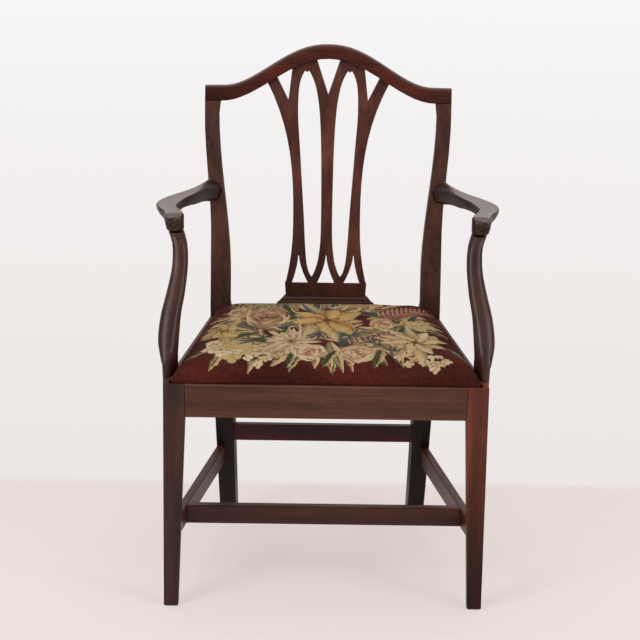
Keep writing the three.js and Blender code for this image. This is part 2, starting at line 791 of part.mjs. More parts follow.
// A small window that narrows to a blunt top between two sides that flare toward the sill
function lowerWindow(from, to, apex) {
  const steps = 5;
  const sides = [[from, apex - lowerWindowTip], [to, apex + lowerWindowTip]];
  const [rising, falling] = sides.map(([foot, tip]) => Array.from({ length: steps + 1 }, (_, i) => {
    const share = i / steps;
    return [lerp(tip, foot, (1 - share) ** lowerWindowPower), lerp(lowerSill, lowerApex, share)];
  }));
  return [...falling, ...rising.reverse()];
}

// The openings are sawn square to the leaning board, not level
function sawn(opening) {
  const lean = (splatFront(slotTop) - splatFront(slotBottom)) / (slotTop - slotBottom);
  return opening.warp((point) => {
    point[2] -= lean * (point[1] - splatFront(point[2]));
  });
}

function splat() {
  const windows = [
    slotPath(),
    lowerWindow(-lowerWindowHalfWidth, lowerWindowHalfWidth, 0),
    lowerWindow(outerWindowInner, outerWindowOuter, outerWindowCentre),
  ];
  const faces = [];
  for (let i = 0; i <= splatLevels; i += 1) {
    const z = lerp(splatBottom - cutOverrun, crestEndTop + crestTopRise, i / splatLevels);
    faces.push([splatFront(z), z]);
  }
  const board = [...faces, ...faces.map(([y, z]) => [y + splatThickness, z]).reverse()];
  const reach = splatFlareTopHalf() + splatBaseHalfWidth;
  const slab = prism('x', flat(board), -reach, reach);
  const front = splatFront(splatBottom) - cutOverrun;
  const back = splatFront(crestEndTop + crestTopRise) + splatThickness + cutOverrun;
  const holes = windows.map((outline) => sawn(prism('y', flat(outline), front, back)));
  const outline = prism('y', flat(splatOutline()), front, back);
  const tongues = splatTenons(0);
  return join(cut(slab.intersect(outline), crestSpace(), ...holes, ...holes.map(reflected)),
    ...tongues, ...tongues.map(reflected));
}

function shoe() {
  const [front, back] = [seatDepth + glueGap, seatDepth + backRailThickness];
  const base = railTop + glueGap;
  const topHalf = splatBaseHalfWidth - splatBaseTaper + shoeMargin;
  const topFront = splatFront(railTop + shoeHeight) - 2 * shoeMargin;
  const topBack = splatFront(railTop + shoeHeight) + splatThickness + 2 * shoeMargin;
  // Share of the moulding's height, and of its step in from the plinth to the top
  const mouldingShares = [
    [0, 0], [0.2, 0.04], [0.33, 0.15], [0.37, 0.4], [0.58, 0.44], [0.83, 0.62], [0.96, 0.84], [1, 1],
  ];
  const rings = [[base, 0], ...mouldingShares.map(([rise, step]) => [
    lerp(base + shoePlinthHeight, railTop + shoeHeight, rise), step])];
  const body = loft(rings.map(([z, step]) => {
    const x = lerp(shoeHalfWidth, topHalf, step);
    const [y0, y1] = [lerp(front, topFront, step), lerp(back, topBack, step)];
    const backX = x - shoeBackTaper * (1 - step);
    return spatial([[-x, y0, z], [x, y0, z], [backX, y1, z], [-backX, y1, z]]);
  }));
  const grow = glueGap;
  const y = splatFront(splatBottom);
  const across = splatBaseHalfWidth - splatFootShoulder + grow;
  const mortise = block(-across, across, y - grow, splatFront(railTop + shoeHeight) + splatThickness + grow,
    splatBottom - grow, railTop + shoeHeight + cutOverrun);
  return cut(body, mortise);
}

function frontRail() {
  const end = half(seatFrontWidth) - legWidth - glueGap;
  const bevel = edgeBevel;
  const section = flat([
    [0, railBottom], [railThickness, railBottom], [railThickness, railTop],
    [bevel, railTop], [0, railTop - bevel],
  ]);
  const body = cut(prism('x', section, -end, end), seatWell());
  const [tongue] = frontRailTenon();
  return join(body, tongue, reflected(tongue));
}

function sideRail() {
  const [front, back] = [legWidth + glueGap, seatDepth - glueGap];
  const outline = flat([
    [railInner(front), front], [railOuter(front), front], [railOuter(back), back], [railInner(back), back],
  ]);
  const body = cut(prism('z', outline, railBottom, railTop), seatWell());
  const holes = [...supportScrewEnds(), backBlockScrewEnds()].map(([head, tip]) => screwHole(head, tip));
  return cut(join(body, sideRailTenon(false)[0], sideRailTenon(true)[0]), ...holes);
}

function backRail() {
  const front = seatDepth - backLedge;
  const back = seatDepth + backRailThickness;
  const section = [
    [front, railBottom], [back, railBottom], [back, railTop], [seatDepth, railTop],
    [seatDepth, ledgeTop], [front, ledgeTop],
  ];
  const end = (side) => section.map(([y, z]) => {
    const skewed = postInner(z) - postSkew(z) * Math.max(0, y - seatDepth);
    return at(side * (skewed - loftGap), y, z);
  });
  const [tongue] = backRailTenon();
  return join(loft([end(-1), end(1)]), tongue, reflected(tongue));
}

function sideStretcher() {
  const [start, end] = sideStretcherLine();
  const across = half(sideStretcherThickness);
  const [low, high] = [sideStretcherTop - stretcherHeight, sideStretcherTop];
  const section = [
    [-across, low], [across, low], [across, high - edgeBevel], [across - edgeBevel, high],
    [edgeBevel - across, high], [-across, high - edgeBevel],
  ];
  const slope = (end.x - start.x) / (end.y - start.y);
  const ring = (faceAt) => section.map(([x, z]) => {
    const y = faceAt(z);
    return at(start.x + slope * (y - start.y) + x, y, z);
  });
  const body = join(loft([ring((z) => frontLegWidth(z) + glueGap), ring((z) => backFront(z) - glueGap)]),
    sideStretcherTenon(false)[0], sideStretcherTenon(true)[0]);
  return cut(body, crossStretcherTenon()[1]);
}

// A stretcher across the chair, its ends fitted to the slanting faces that they meet.
function acrossStretcher(front, thickness, top, height, endAt) {
  const section = [
    [front, top - height], [front + thickness, top - height], [front + thickness, top - edgeBevel],
    [front + thickness - edgeBevel, top], [front + edgeBevel, top], [front, top - edgeBevel],
  ];
  const end = (side) => section.map(([y, z]) => at(side * (endAt(y, z) - loftGap), y, z));
  return loft([end(-1), end(1)]);
}

function crossStretcher() {
  const [start, finish] = sideStretcherLine();
  const slope = (finish.x - start.x) / (finish.y - start.y);
  const middle = crossStretcherFront + half(crossStretcherThickness);
  const body = acrossStretcher(crossStretcherFront, crossStretcherThickness, sideStretcherTop,
    stretcherHeight, (y) => crossStretcherEnd() + slope * (y - middle));
  const [tongue] = crossStretcherTenon();
  return join(body, tongue, reflected(tongue));
}

function rearStretcher() {
  const body = acrossStretcher(rearStretcherY - half(rearStretcherThickness), rearStretcherThickness,
    rearStretcherTop, rearStretcherHeight,
    (y, z) => postInner(z) - postSkew(z) * (y - backFront(z)));
  const [tongue] = rearStretcherTenon();
  return join(body, tongue, reflected(tongue));
}

// Right arm. Each row is one section from the arm's inner edge to its outer edge: how far each end
// stands outside the post and in front of it, as shares of the arm's sweep and length; then the
// arm's depth, as a share from its plain thickness to its thickest, and its scoop.
const armShares = [
  [-0.293, 0, 0, 0, 1, 0], [-0.255, 0.04, 0.017, 0.045, 1, 0.45], [-0.15, 0.1, 0.063, 0.11, 0.92, 0.9],
  [-0.045, 0.18, 0.144, 0.185, 0.7, 1], [0.04, 0.284, 0.27, 0.29, 0.46, 1],
  [0.155, 0.414, 0.466, 0.4, 0.27, 1], [0.282, 0.524, 0.684, 0.5, 0.14, 1],
  [0.397, 0.599, 0.85, 0.585, 0.04, 0.9], [0.477, 0.675, 0.95, 0.65, 0, 0.7],
  [0.534, 0.736, 1, 0.71, 0, 0.35], [0.55, 0.79, 0.985, 0.77, 0, 0.1],
  [0.515, 0.85, 0.93, 0.835, 0.06, 0], [0.45, 0.9, 0.85, 0.89, 0.25, 0],
  [0.4, 0.932, 0.8, 0.93, 0.95, 0], [0.375, 0.965, 0.775, 0.98, 1, 0],
];
// The rounded nose: share of its length, of the arm's width taken off its inner side and off its outer
// side, and of the knuckle's height taken off the top and off the bottom
const noseShares = [[0.45, 0.04, 0.02, 0.05, 0], [0.8, 0.11, 0.05, 0.16, 0.04], [1, 0.22, 0.1, 0.3, 0.12]];
// The arm's section: share of its width from the inner edge, and of its depth from the top. The scoop
// pushes in the points that carry a share of it.
const armSectionShares = [
  [0.06, 0.03, 0], [0.3, 0, 0], [0.7, 0, 0], [0.95, 0.04, 0], [1, 0.2, 0], [0.985, 0.5, 0],
  [0.9, 0.82, 0], [0.7, 1, 0], [0.3, 1, 0], [0.06, 0.96, 0], [0, 0.88, 0], [0, 0.68, 0.85],
  [0, 0.4, 1], [0, 0.14, 0.1],
];
// The same points where the arm ends round against the post
const armRootSectionShares = [
  [0.24, 0.3], [0.5, 0.17], [0.75, 0.08], [0.95, 0.05], [1, 0.17], [0.985, 0.5], [0.95, 0.85],
  [0.75, 0.98], [0.5, 1], [0.24, 0.95], [0.07, 0.84], [0, 0.7], [0, 0.54], [0.07, 0.39],
];

const armRootZ = armTop - armDrop;
const armRootX = postOuter(armRootZ - half(armThickness));
const armRootY = backFront(armRootZ);

function armRings() {
  const rings = refine(armShares, 2).map((row) => {
    const [innerSweep, innerReach, outerSweep, outerReach, deep, scoop] = row;
    const reach = (innerReach + outerReach) / 2;
    return {
      inner: [armRootX + armSweep * innerSweep, armRootY - armLength * innerReach],
      outer: [armRootX + armSweep * outerSweep, armRootY - armLength * outerReach],
      top: armTop - armDrop * (1 - smooth(reach, 0, 0.6)),
      deep,
      root: reach < 1 / 2 ? deep * deep : 0,
      scoop: scoopDepth * scoop,
    };
  });
  rings.forEach((ring) => {
    const deepest = ring.root ? armRootHeight : knuckleHeight;
    ring.bottom = ring.top - lerp(armThickness, deepest, THREE.MathUtils.clamp(ring.deep, 0, 1));
  });
  const last = rings.at(-1);
  noseShares.forEach(([reach, innerShare, outerShare, above, below]) => {
    const blend = (a, b, share) => [lerp(a[0], b[0], share), lerp(a[1], b[1], share) - noseLength * reach];
    rings.push({
      inner: blend(last.inner, last.outer, innerShare),
      outer: blend(last.outer, last.inner, outerShare),
      top: last.top - knuckleHeight * above,
      bottom: last.bottom + knuckleHeight * below,
      root: 0,
      scoop: 0,
    });
  });
  return rings;
}

function arm() {
  const rings = armRings().map((ring, index) => armSectionShares.map(([across, down, scooped], i) => {
    const [rootAcross, rootDown] = armRootSectionShares[i];
    const z = lerp(ring.top, ring.bottom, lerp(down, rootDown, ring.root));
    const width = Math.hypot(ring.outer[0] - ring.inner[0], ring.outer[1] - ring.inner[1]);
    const share = lerp(across, rootAcross, ring.root) + scooped * ring.scoop / width;
    const y = lerp(ring.inner[1], ring.outer[1], share);
    const rootEase = index === 0 ? backFront(z) - loftGap - armRootY : 0;
    return at(lerp(ring.inner[0], ring.outer[0], share), y + rootEase, z);
  }));
  const [head, tip] = armScrewEnds();
  return cut(join(loft(rings), armEye()), supportTenon()[1], screwHole(head, tip));
}

// The round eye carved on the front of the knuckle: a small button in a hollow with a rounded rim. Shares
// of its radius and of its depth.
const eyeShares = [
  [0, 0], [0.2, 0.1], [0.3, 0.5], [0.42, 0.62], [0.64, 0.42], [0.8, 0.34], [0.93, 0.6], [1, 1.2],
];
function armEye() {
  const nose = armRings().at(-1);
  const middle = [0, 1].map((i) => lerp(nose.inner[i], nose.outer[i], eyeShare));
  const place = screwPlace(at(middle[0], middle[1] - eyeProud, eyeHeight),
    at(middle[0], middle[1] + noseLength, eyeHeight));
  return turned([
    ...eyeShares.map(([out, back]) => [eyeRadius * out, eyeProud * back]),
    [eyeRadius, noseLength], [0, noseLength],
  ], supportSides, place);
}

function knuckleCentre() {
  const ring = armRings().at(-1 - noseShares.length);
  return [(ring.inner[0] + ring.outer[0]) / 2 - supportInset, (ring.inner[1] + ring.outer[1]) / 2];
}

function supportTenon() {
  const [x, y] = knuckleCentre();
  const z = armTop - knuckleHeight;
  const make = (grow) => turned([
    [0, -cutOverrun], [armTenonRadius + grow, -cutOverrun],
    [armTenonRadius + grow, armTenonLength + grow], [0, armTenonLength + grow],
  ], supportSides, new THREE.Matrix4().makeTranslation(x, y, z));
  return [make(0), make(glueGap)];
}

// Right arm support, from the foot of the part that laps over the rail to the underside of the
// knuckle. Each row: the height as a share above the rail, or below it as a share of the lap; then
// shares of the bow, setback, width, depth and of the rail's splay.
const supportShares = [
  [-1, 0, 0, 0.46, 0.72, 1], [-0.9, 0, 0, 0.55, 0.86, 1], [-0.5, 0, 0, 0.568, 0.96, 1],
  [0, 0, 0, 0.568, 1, 1], [0.111, 0.22, -0.87, 0.7, 0.84, 1], [0.214, 0.44, -1, 0.92, 0.67, 1],
  [0.3, 0.42, -1, 0.98, 0.58, 0.9], [0.427, 0.18, -0.92, 0.96, 0.53, 0.7],
  [0.556, -0.39, -0.75, 0.9, 0.47, 0.4], [0.705, -0.89, -0.5, 0.79, 0.43, 0.2],
  [0.812, -1, -0.42, 0.75, 0.4, 0], [0.919, -0.8, -0.4, 0.73, 0.42, 0], [1, -0.15, 0, 0.74, 0.5, 0],
];
const supportSquareness = 0.72; // exponent of the rounded section: 1 is an ellipse, 0 a rectangle

function armSupport() {
  const base = railTop + glueGap;
  const top = armTop - knuckleHeight - loftGap;
  const baseX = lipInner(supportBaseY) + glueGap + half(supportBaseWidth);
  const [topX, topY] = knuckleCentre();
  const rings = refine(supportShares, 2).map(([height, bow, setback, width, depth, turn]) => {
    const z = height < 0 ? base + height * supportLap : lerp(base, top, height);
    const rise = Math.max(0, height);
    const x = lerp(baseX, topX, rise) + supportBow * bow;
    const y = lerp(supportBaseY, topY, rise) + supportSetback * setback;
    const [a, b] = [half(supportWidth) * width, half(supportDepth) * depth];
    const angle = splay * turn;
    const points = [];
    for (let i = 0; i < supportSides; i += 1) {
      const t = (2 * Math.PI * i) / supportSides;
      const rounded = (v) => Math.sign(v) * Math.abs(v) ** supportSquareness;
      const [u, v] = [a * rounded(Math.cos(t)), b * rounded(Math.sin(t))];
      points.push(at(x + u * Math.cos(angle) - v * Math.sin(angle),
        y + u * Math.sin(angle) + v * Math.cos(angle), z));
    }
    return points;
  });
  const ease = glueGap;
  const [front, back] = [legWidth + ease, seatDepth];
  const railSpace = prism('z', flat([
    [0, front - legWidth], [railOuter(0) + ease, front - legWidth],
    [railOuter(back) + ease, back], [0, back],
  ]), railBottom - cutOverrun, base);
  const legSpace = block(0, half(seatFrontWidth) + legWidth, -legWidth, front, 0, base);
  const tongue = supportTenon()[0];
  return cut(join(loft(rings), tongue), railSpace, legSpace,
    ...supportScrewEnds().map(([head, tip]) => screwHole(head, tip)));
}

// Drop-in seat

// The seat's plan, inset from the rabbet, as a ring of points with rounded corners.
const sideSteps = 7;
const cornerSteps = 3;
function seatPlan(inset) {
  const front = lipWidth + inset;
  const back = seatDepth - inset;
  const across = inset / Math.cos(splay);
  const radius = Math.max(seatCornerRadius - inset, seatCornerRadius / 4);
  const corners = [
    [lipInner(front) - across, front, -1], [lipInner(back) - across, back, 1],
    [-(lipInner(back) - across), back, 1], [-(lipInner(front) - across), front, -1],
  ].map(([x, y]) => new THREE.Vector2(x, y));
  const rounded = corners.map((corner, i) => {
    const before = corners[(i + corners.length - 1) % corners.length].clone().sub(corner).normalize();
    const after = corners[(i + 1) % corners.length].clone().sub(corner).normalize();
    const start = corner.clone().addScaledVector(before, radius);
    const end = corner.clone().addScaledVector(after, radius);
    return new THREE.QuadraticBezierCurve(start, corner, end);
  });
  const points = [];
  rounded.forEach((curve, i) => {
    points.push(...curve.getPoints(cornerSteps));
    const next = rounded[(i + 1) % rounded.length];
    for (let s = 1; s < sideSteps; s += 1) points.push(curve.v2.clone().lerp(next.v0, s / sideSteps));
  });
  return points;
}

// Height of the stuffed seat above its edge: a quarter round along each edge and a slight dome.
function crownAt(x, y) {
  const edge = (distance, width) => {
    const share = THREE.MathUtils.clamp(distance / width, 0, 1);
    return Math.sqrt(1 - (1 - share) ** 2);
  };
  const start = lipWidth + seatEase;
  const side = (lipInner(y) - seatEase - Math.abs(x)) * Math.cos(splay);
  const [front, back] = [y - start, seatDepth - seatEase - y];
  const rise = edge(side, crownSideEdge) * edge(front, crownFrontEdge) * edge(back, crownBackEdge);
  const dome = Math.sin((Math.PI * y) / seatDepth) * Math.cos((Math.PI * x) / seatFrontWidth);
  return seatCrown * rise + crownDome * dome * rise;
}

const seatFrameInset = seatEase + coverThickness + loftGap;
const seatFrameBottom = ledgeTop + loftGap;
const seatFrameTop = seatFrameBottom + seatFrameThickness;
const skirtBottom = seatFrameBottom + coverThickness;

const coverEdge = railTop + coverThickness; // where the crown begins
const crownInsets = [0, 0.008, 0.025, 0.055, 0.1, 0.17, 0.27, 0.42, 0.6, 0.8]
  .map((share) => share * half(seatDepth));
const liningInsets = crownInsets.filter((inset, i) => i !== 1);

// Rings over the seat's plan, one at each inset.
function seatSurface(insets, baseInset, height) {
  return insets.map((inset) => seatPlan(baseInset + inset).map((p) => at(p.x, p.y, height(p))));
}

const coverSurface = () => seatSurface(crownInsets, seatEase, (p) => coverEdge + crownAt(p.x, p.y));
const liningSurface = () => seatSurface(liningInsets, seatEase + coverThickness,
  (p) => railTop + Math.max(0, crownAt(p.x, p.y) - half(coverThickness)));

// The cover is one sheet: from the crown down round the seat frame, and back up inside itself.
function seatCover() {
  const skirt = seatPlan(seatEase).map((p) => at(p.x, p.y, skirtBottom));
  const innerSkirt = seatPlan(seatEase + coverThickness).map((p) => at(p.x, p.y, skirtBottom));
  return loft([...coverSurface().reverse(), skirt, innerSkirt, ...liningSurface()]);
}

// The stuffing follows the cover's inside.
function seatStuffing() {
  const lining = liningSurface().slice(1);
  const base = seatEase + coverThickness + loftGap;
  const plans = liningInsets.slice(1).map((inset) => seatPlan(base + inset));
  const top = plans.map((plan, r) => plan.map((p, i) => at(p.x, p.y, lining[r][i].z - loftGap)));
  const floor = plans[0].map((p) => at(p.x, p.y, canvasTop + loftGap));
  return loft([floor, ...top]);
}

const webBase = seatFrameTop + loftGap + half(webThickness) + webWave;
const webTop = webBase + webWave + half(webThickness);
const canvasBottom = webTop + loftGap;
const canvasTop = canvasBottom + canvasThickness;

// Plan corners of the seat frame's outer edge
function seatFrameCorners() {
  const [front, back] = [lipWidth + seatFrameInset, seatDepth - seatFrameInset];
  const side = (y) => lipInner(y) - seatFrameInset / Math.cos(splay);
  return { front, back, side };
}

function seatFrameAcross(atBack) {
  const { front, back, side } = seatFrameCorners();
  const [y0, y1] = atBack ? [back - seatFrameWidth, back] : [front, front + seatFrameWidth];
  const body = prism('z', flat([[-side(y0), y0], [side(y0), y0], [side(y1), y1], [-side(y1), y1]]),
    seatFrameBottom, seatFrameTop);
  const mortise = seatFrameTenon(atBack)[1];
  const plan = prism('z', seatPlan(seatFrameInset), seatFrameBottom, seatFrameTop);
  return cut(body.intersect(plan), mortise, reflected(mortise));
}

function seatFrameTenon(atBack) {
  const { front, back, side } = seatFrameCorners();
  const middle = (y) => side(y) - half(seatFrameWidth);
  const z = (seatFrameBottom + seatFrameTop) / 2;
  const shoulder = atBack ? back - seatFrameWidth : front + seatFrameWidth;
  const [root, tip] = atBack ? [shoulder - cutOverrun, shoulder + seatTenonLength]
    : [shoulder + cutOverrun, shoulder - seatTenonLength];
  return tenon(at(middle(root), root, z), at(middle(tip), tip, z),
    half(seatFrameWidth), seatTenonThickness);
}

function seatFrameSide() {
  const { front, back, side } = seatFrameCorners();
  const [y0, y1] = [front + seatFrameWidth + glueGap, back - seatFrameWidth - glueGap];
  const body = prism('z', flat([
    [side(y0) - seatFrameWidth, y0], [side(y0), y0], [side(y1), y1], [side(y1) - seatFrameWidth, y1],
  ]), seatFrameBottom, seatFrameTop);
  return join(body, seatFrameTenon(false)[0], seatFrameTenon(true)[0]);
}

// One web from a run of crossings: it lies high over one crossing and low under the next.
function web(fromEdge, toEdge, crossings, firstHigh, place) {
  const landing = half(webWidth) + webWave;
  const stations = [[fromEdge, crossings.length && !firstHigh ? 1 : -1]];
  crossings.forEach((centre, i) => {
    const level = (i % 2 === 0) === firstHigh ? 1 : -1;
    stations.push([centre - landing, level], [centre + landing, level]);
  });
  const lastHigh = stations.at(-1)[1];
  stations.push([toEdge, -lastHigh]);
  const across = half(webWidth);
  return loft(stations.map(([along, level]) => {
    const low = webBase + webWave * level - half(webThickness);
    const high = low + webThickness;
    return [
      place(along, -across, low), place(along, across, low),
      place(along, across, high), place(along, -across, high),
    ];
  }));
}

const webColumns = [-1.5, -0.5, 0.5, 1.5].map((share) => share * webPitchX);
const webRows = [-1, 0, 1].map((share) => half(seatDepth) + share * webPitchY);

function webs() {
  const { front, back, side } = seatFrameCorners();
  const [y0, y1] = [front + seatFrameWidth - webLanding, back - seatFrameWidth + webLanding];
  const pieces = webColumns.map((x, i) => mesh(`front_to_back_web_${i + 1}`,
    web(y0, y1, webRows, i % 2 === 0, (y, across, z) => at(x + across, y, z)), 'jute'));
  webRows.forEach((y, j) => {
    const reach = side(y + half(webWidth)) - seatFrameWidth + webLanding;
    pieces.push(mesh(`cross_web_${j + 1}`,
      web(-reach, reach, webColumns, j % 2 === 1, (x, across, z) => at(x, y + across, z)), 'jute'));
  });
  return pieces;
}

function seatCanvas() {
  const plan = seatPlan(seatFrameInset + canvasMargin);
  return prism('z', plan, canvasBottom, canvasTop);
}

function cornerBlock(outline, screwEnds) {
  const top = ledgeTop - blockDrop;
  const body = prism('z', flat(outline), top - blockHeight, top);
  return cut(body, screwHole(...screwEnds, blockReach));
}

// Assembly
const chair = new THREE.Group();
chair.name = 'armchair';

const frame = new THREE.Group();
frame.add(
  ...pair('front_leg', frontLeg(), 'lightMahogany'),
  ...pair('rear_leg', post(), 'mahogany'),
  mesh('crest_rail', crest(), 'mahogany'),
  mesh('splat', splat(), 'mahogany'),
  mesh('splat_shoe', shoe(), 'mahogany'),
  mesh('front_seat_rail', frontRail(), 'mahogany'),
  ...pair('side_seat_rail', sideRail(), 'mahogany'),
  mesh('back_seat_rail', backRail(), 'mahogany'),
  ...pair('side_stretcher', sideStretcher(), 'mahogany'),
  mesh('cross_stretcher', crossStretcher(), 'mahogany'),
  mesh('rear_stretcher', rearStretcher(), 'mahogany'),
  ...pair('arm', arm(), 'mahogany'),
  ...pair('arm_support', armSupport(), 'mahogany'),
  ...pair('front_corner_block', cornerBlock(frontBlockOutline(), frontBlockScrewEnds()), 'beech'),
  ...pair('back_corner_block', cornerBlock(backBlockOutline(), backBlockScrewEnds()), 'beech'),
);

const screws = new THREE.Group();
supportScrewEnds().forEach((ends, i) => {
  screws.add(...pair(`${['front', 'back'][i]}_support_screw`, screw(...ends), 'steel'));
});
screws.add(
  ...pair('front_block_screw', screw(...frontBlockScrewEnds()), 'steel'),
  ...pair('back_block_screw', screw(...backBlockScrewEnds()), 'steel'),
  ...pair('arm_screw', screw(...armScrewEnds()), 'steel'),
  ...pair('arm_screw_plug', armPlug(), 'mahogany'),
);

const dropInSeat = new THREE.Group();
dropInSeat.add(
  mesh('seat_frame_front', seatFrameAcross(false), 'beech'),
  mesh('seat_frame_back', seatFrameAcross(true), 'beech'),
  ...pair('seat_frame_side', seatFrameSide(), 'beech'),
  ...webs(),
  mesh('seat_canvas', seatCanvas(), 'jute'),
  mesh('seat_stuffing', seatStuffing(), 'horsehair'),
  mesh('seat_cover', seatCover(), 'needlework'),
);

chair.add(frame, screws, dropInSeat);

// The origin is the middle of the chair's footprint, on the floor.
const bounds = new THREE.Box3().setFromObject(chair);
chair.position.set(0, -(bounds.min.y + bounds.max.y) / 2, 0);

export default chair;
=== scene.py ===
# Looks of a mahogany shield back armchair with a needlework drop-in seat. Metres, +Z up, front faces -Y.
from math import atan, atan2, cos, pi, radians, sin, sqrt

import bpy
import numpy as np
from mathutils import Matrix, Vector


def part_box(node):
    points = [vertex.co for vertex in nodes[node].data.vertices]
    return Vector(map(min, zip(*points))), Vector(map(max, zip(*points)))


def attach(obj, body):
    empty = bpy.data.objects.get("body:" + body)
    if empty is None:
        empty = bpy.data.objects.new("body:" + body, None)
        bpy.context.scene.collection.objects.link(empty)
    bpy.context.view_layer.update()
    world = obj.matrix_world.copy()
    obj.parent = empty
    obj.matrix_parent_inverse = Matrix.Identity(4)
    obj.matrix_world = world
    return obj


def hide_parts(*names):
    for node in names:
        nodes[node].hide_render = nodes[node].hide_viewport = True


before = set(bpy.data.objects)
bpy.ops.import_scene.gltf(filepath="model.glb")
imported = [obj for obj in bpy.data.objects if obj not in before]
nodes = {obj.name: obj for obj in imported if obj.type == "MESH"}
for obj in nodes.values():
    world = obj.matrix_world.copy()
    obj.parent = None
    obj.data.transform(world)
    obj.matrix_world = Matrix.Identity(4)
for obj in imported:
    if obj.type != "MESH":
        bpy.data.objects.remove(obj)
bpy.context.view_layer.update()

scene = bpy.context.scene
MM = 0.001

# Camera, at the photograph's viewing angle
CAMERA_PLACE = Vector((-0.04273, -4.29417, 1.79108))
CAMERA_YAW = 0.0074
CAMERA_PITCH = -0.2987
CAMERA_ROLL = 0.0161
LENS_MM = 133.34
SENSOR_MM = 36.0
FARTHEST = 100.0

# Room
FLOOR_HALF_WIDTH = 12.0
FLOOR_TONE = "#eadfdb"
FLOOR_GLOW = 0.68
WALL_FOOT = 0.36
WALL_BLEND = 0.05
WALL_TONES = [(WALL_FOOT, "#ece7e5"), (2.2, "#f0edec"), (6.5, "#f8f6f7")]
ROOM_TONE = "#fbf7f4"
ROOM_FRONT = 0.20
ROOM_BACK = 0.5
ROOM_SPAN = (-0.7, 0.6)
WALL_REFLECTED = 0.45
AREA_LIGHTS = [
    # name, place, aimed at, width, height, watts
    ("window_left", (-2.6, -2.7, 2.5), (0.0, 0.0, 0.45), 1.5, 2.2, 76.0),
    ("window_right", (2.9, -2.2, 2.2), (0.0, 0.0, 0.5), 1.2, 2.0, 46.0),
    ("wall_wash", (0.0, 3.1, 2.4), (0.0, 0.0, 0.6), 4.0, 1.4, 16.0),
    ("ceiling", (0.0, -0.3, 3.6), (0.0, 0.0, 0.0), 3.0, 3.0, 58.0),
]

# Seat: the same plan and crown as the solid that the needlework replaces
SEAT_FRONT_HALF = 292 * MM
SEAT_BACK_HALF = 224.5 * MM
SEAT_DEPTH = 419 * MM
FRONT_PLANE = -279.4066 * MM
LIP = 7.6 * MM
SEAT_EASE = 1.2 * MM
COVER_EDGE = 431.5 * MM
COVER_THICKNESS = 1.5 * MM
SKIRT_BOTTOM = 411.8 * MM
UNDERSIDE = 433.1 * MM
CROWN = 36 * MM
CROWN_DOME = 6 * MM
EDGE_SIDE = 60 * MM
EDGE_FRONT = 52 * MM
EDGE_BACK = 30 * MM
CORNER_RADIUS = 16 * MM
STITCH = 2.0 * MM
SIMULATION_PITCH = 9.0 * MM
SWELL = 3.0 * MM
SWELL_CAP = 1.6 * MM
LUMP = 0.9 * MM
SKIRT_STEPS = 9
UNDERSIDE_SHARES = (0.8, 0.4)
PROFILE_SAMPLES = 400

# Webs and canvas under the seat
WEB_WIDTH = 50 * MM
WEB_THICKNESS = 1.6 * MM
WEB_STATIONS = 121
WEB_LINES = 13
SELVEDGE_THINNING = 0.35
WEB_THREAD = 2.1 * MM
CANVAS_THREAD = 1.1 * MM
CANVAS_LINES = 61
CANVAS_FROM_SIDE = 12 * MM
CANVAS_FROM_END = 20 * MM


def srgb(code):
    """Linear colour of a hex tone."""
    values = [int(code[i:i + 2], 16) / 255 for i in (1, 3, 5)]
    return [v / 12.92 if v <= 0.04045 else ((v + 0.055) / 1.055) ** 2.4 for v in values]


def smooth(value, low, high):
    t = np.clip((value - low) / (high - low), 0, 1)
    return t * t * (3 - 2 * t)


# Node graphs


class Graph:
    """Nodes of a material or world. A value is a socket, a number, a tuple or a hex tone."""

    def __init__(self, owner):
        owner.use_nodes = True
        self.owner = owner
        self.tree = owner.node_tree
        self.tree.nodes.clear()

    def put(self, socket, value):
        if isinstance(value, bpy.types.NodeSocket):
            self.tree.links.new(value, socket)
        else:
            socket.default_value = (*srgb(value), 1.0) if isinstance(value, str) else value

    def node(self, kind, inputs=None, **settings):
        made = self.tree.nodes.new("ShaderNode" + kind)
        for key, value in settings.items():
            setattr(made, key, value)
        for key, value in (inputs or {}).items():
            self.put(made.inputs[key], value)
        return made

    def math(self, operation, a, b=0.0, clamp=False):
        return self.node("Math", {0: a, 1: b}, operation=operation, use_clamp=clamp).outputs[0]

    def times(self, a, b):
        return self.math("MULTIPLY", a, b)

    def plus(self, a, b):
        return self.math("ADD", a, b)

    def mix(self, factor, a, b, blend="MIX"):
        made = self.node("Mix", {"Factor": factor, 6: a, 7: b}, data_type="RGBA", blend_type=blend)
        return made.outputs[2]

    def shaded(self, colour, tone):
        """A colour made darker or lighter by a number."""
        grey = self.node("CombineColor", {0: tone, 1: tone, 2: tone}).outputs[0]
        return self.mix(1.0, colour, grey, "MULTIPLY")

    def remap(self, value, low, high, to_low=0.0, to_high=1.0, curve="SMOOTHSTEP"):
        return self.node("MapRange", {"Value": value, "From Min": low, "From Max": high,
                                      "To Min": to_low, "To Max": to_high},
                         interpolation_type=curve).outputs[0]

    def noise(self, vector, scale=1.0, detail=2.0, rough=0.5, output="Fac"):
        return self.node("TexNoise", {"Vector": vector, "Scale": scale, "Detail": detail,
                                      "Roughness": rough}).outputs[output]

    def scaled(self, vector, scale):
        return self.node("VectorMath", {0: vector, 1: scale}, operation="MULTIPLY").outputs[0]

    def part(self, vector, axis):
        return self.node("SeparateXYZ", {0: vector}).outputs[axis]

    def shaders(self, factor, first, second):
        return self.node("MixShader", {0: factor, 1: first.outputs[0], 2: second.outputs[0]})

    def finish(self, shader, output="OutputMaterial"):
        out = self.node(output)
        self.tree.links.new(shader.outputs[0], out.inputs["Surface"])
        return self.owner


def material_graph(name):
    return Graph(bpy.data.materials.new(name))


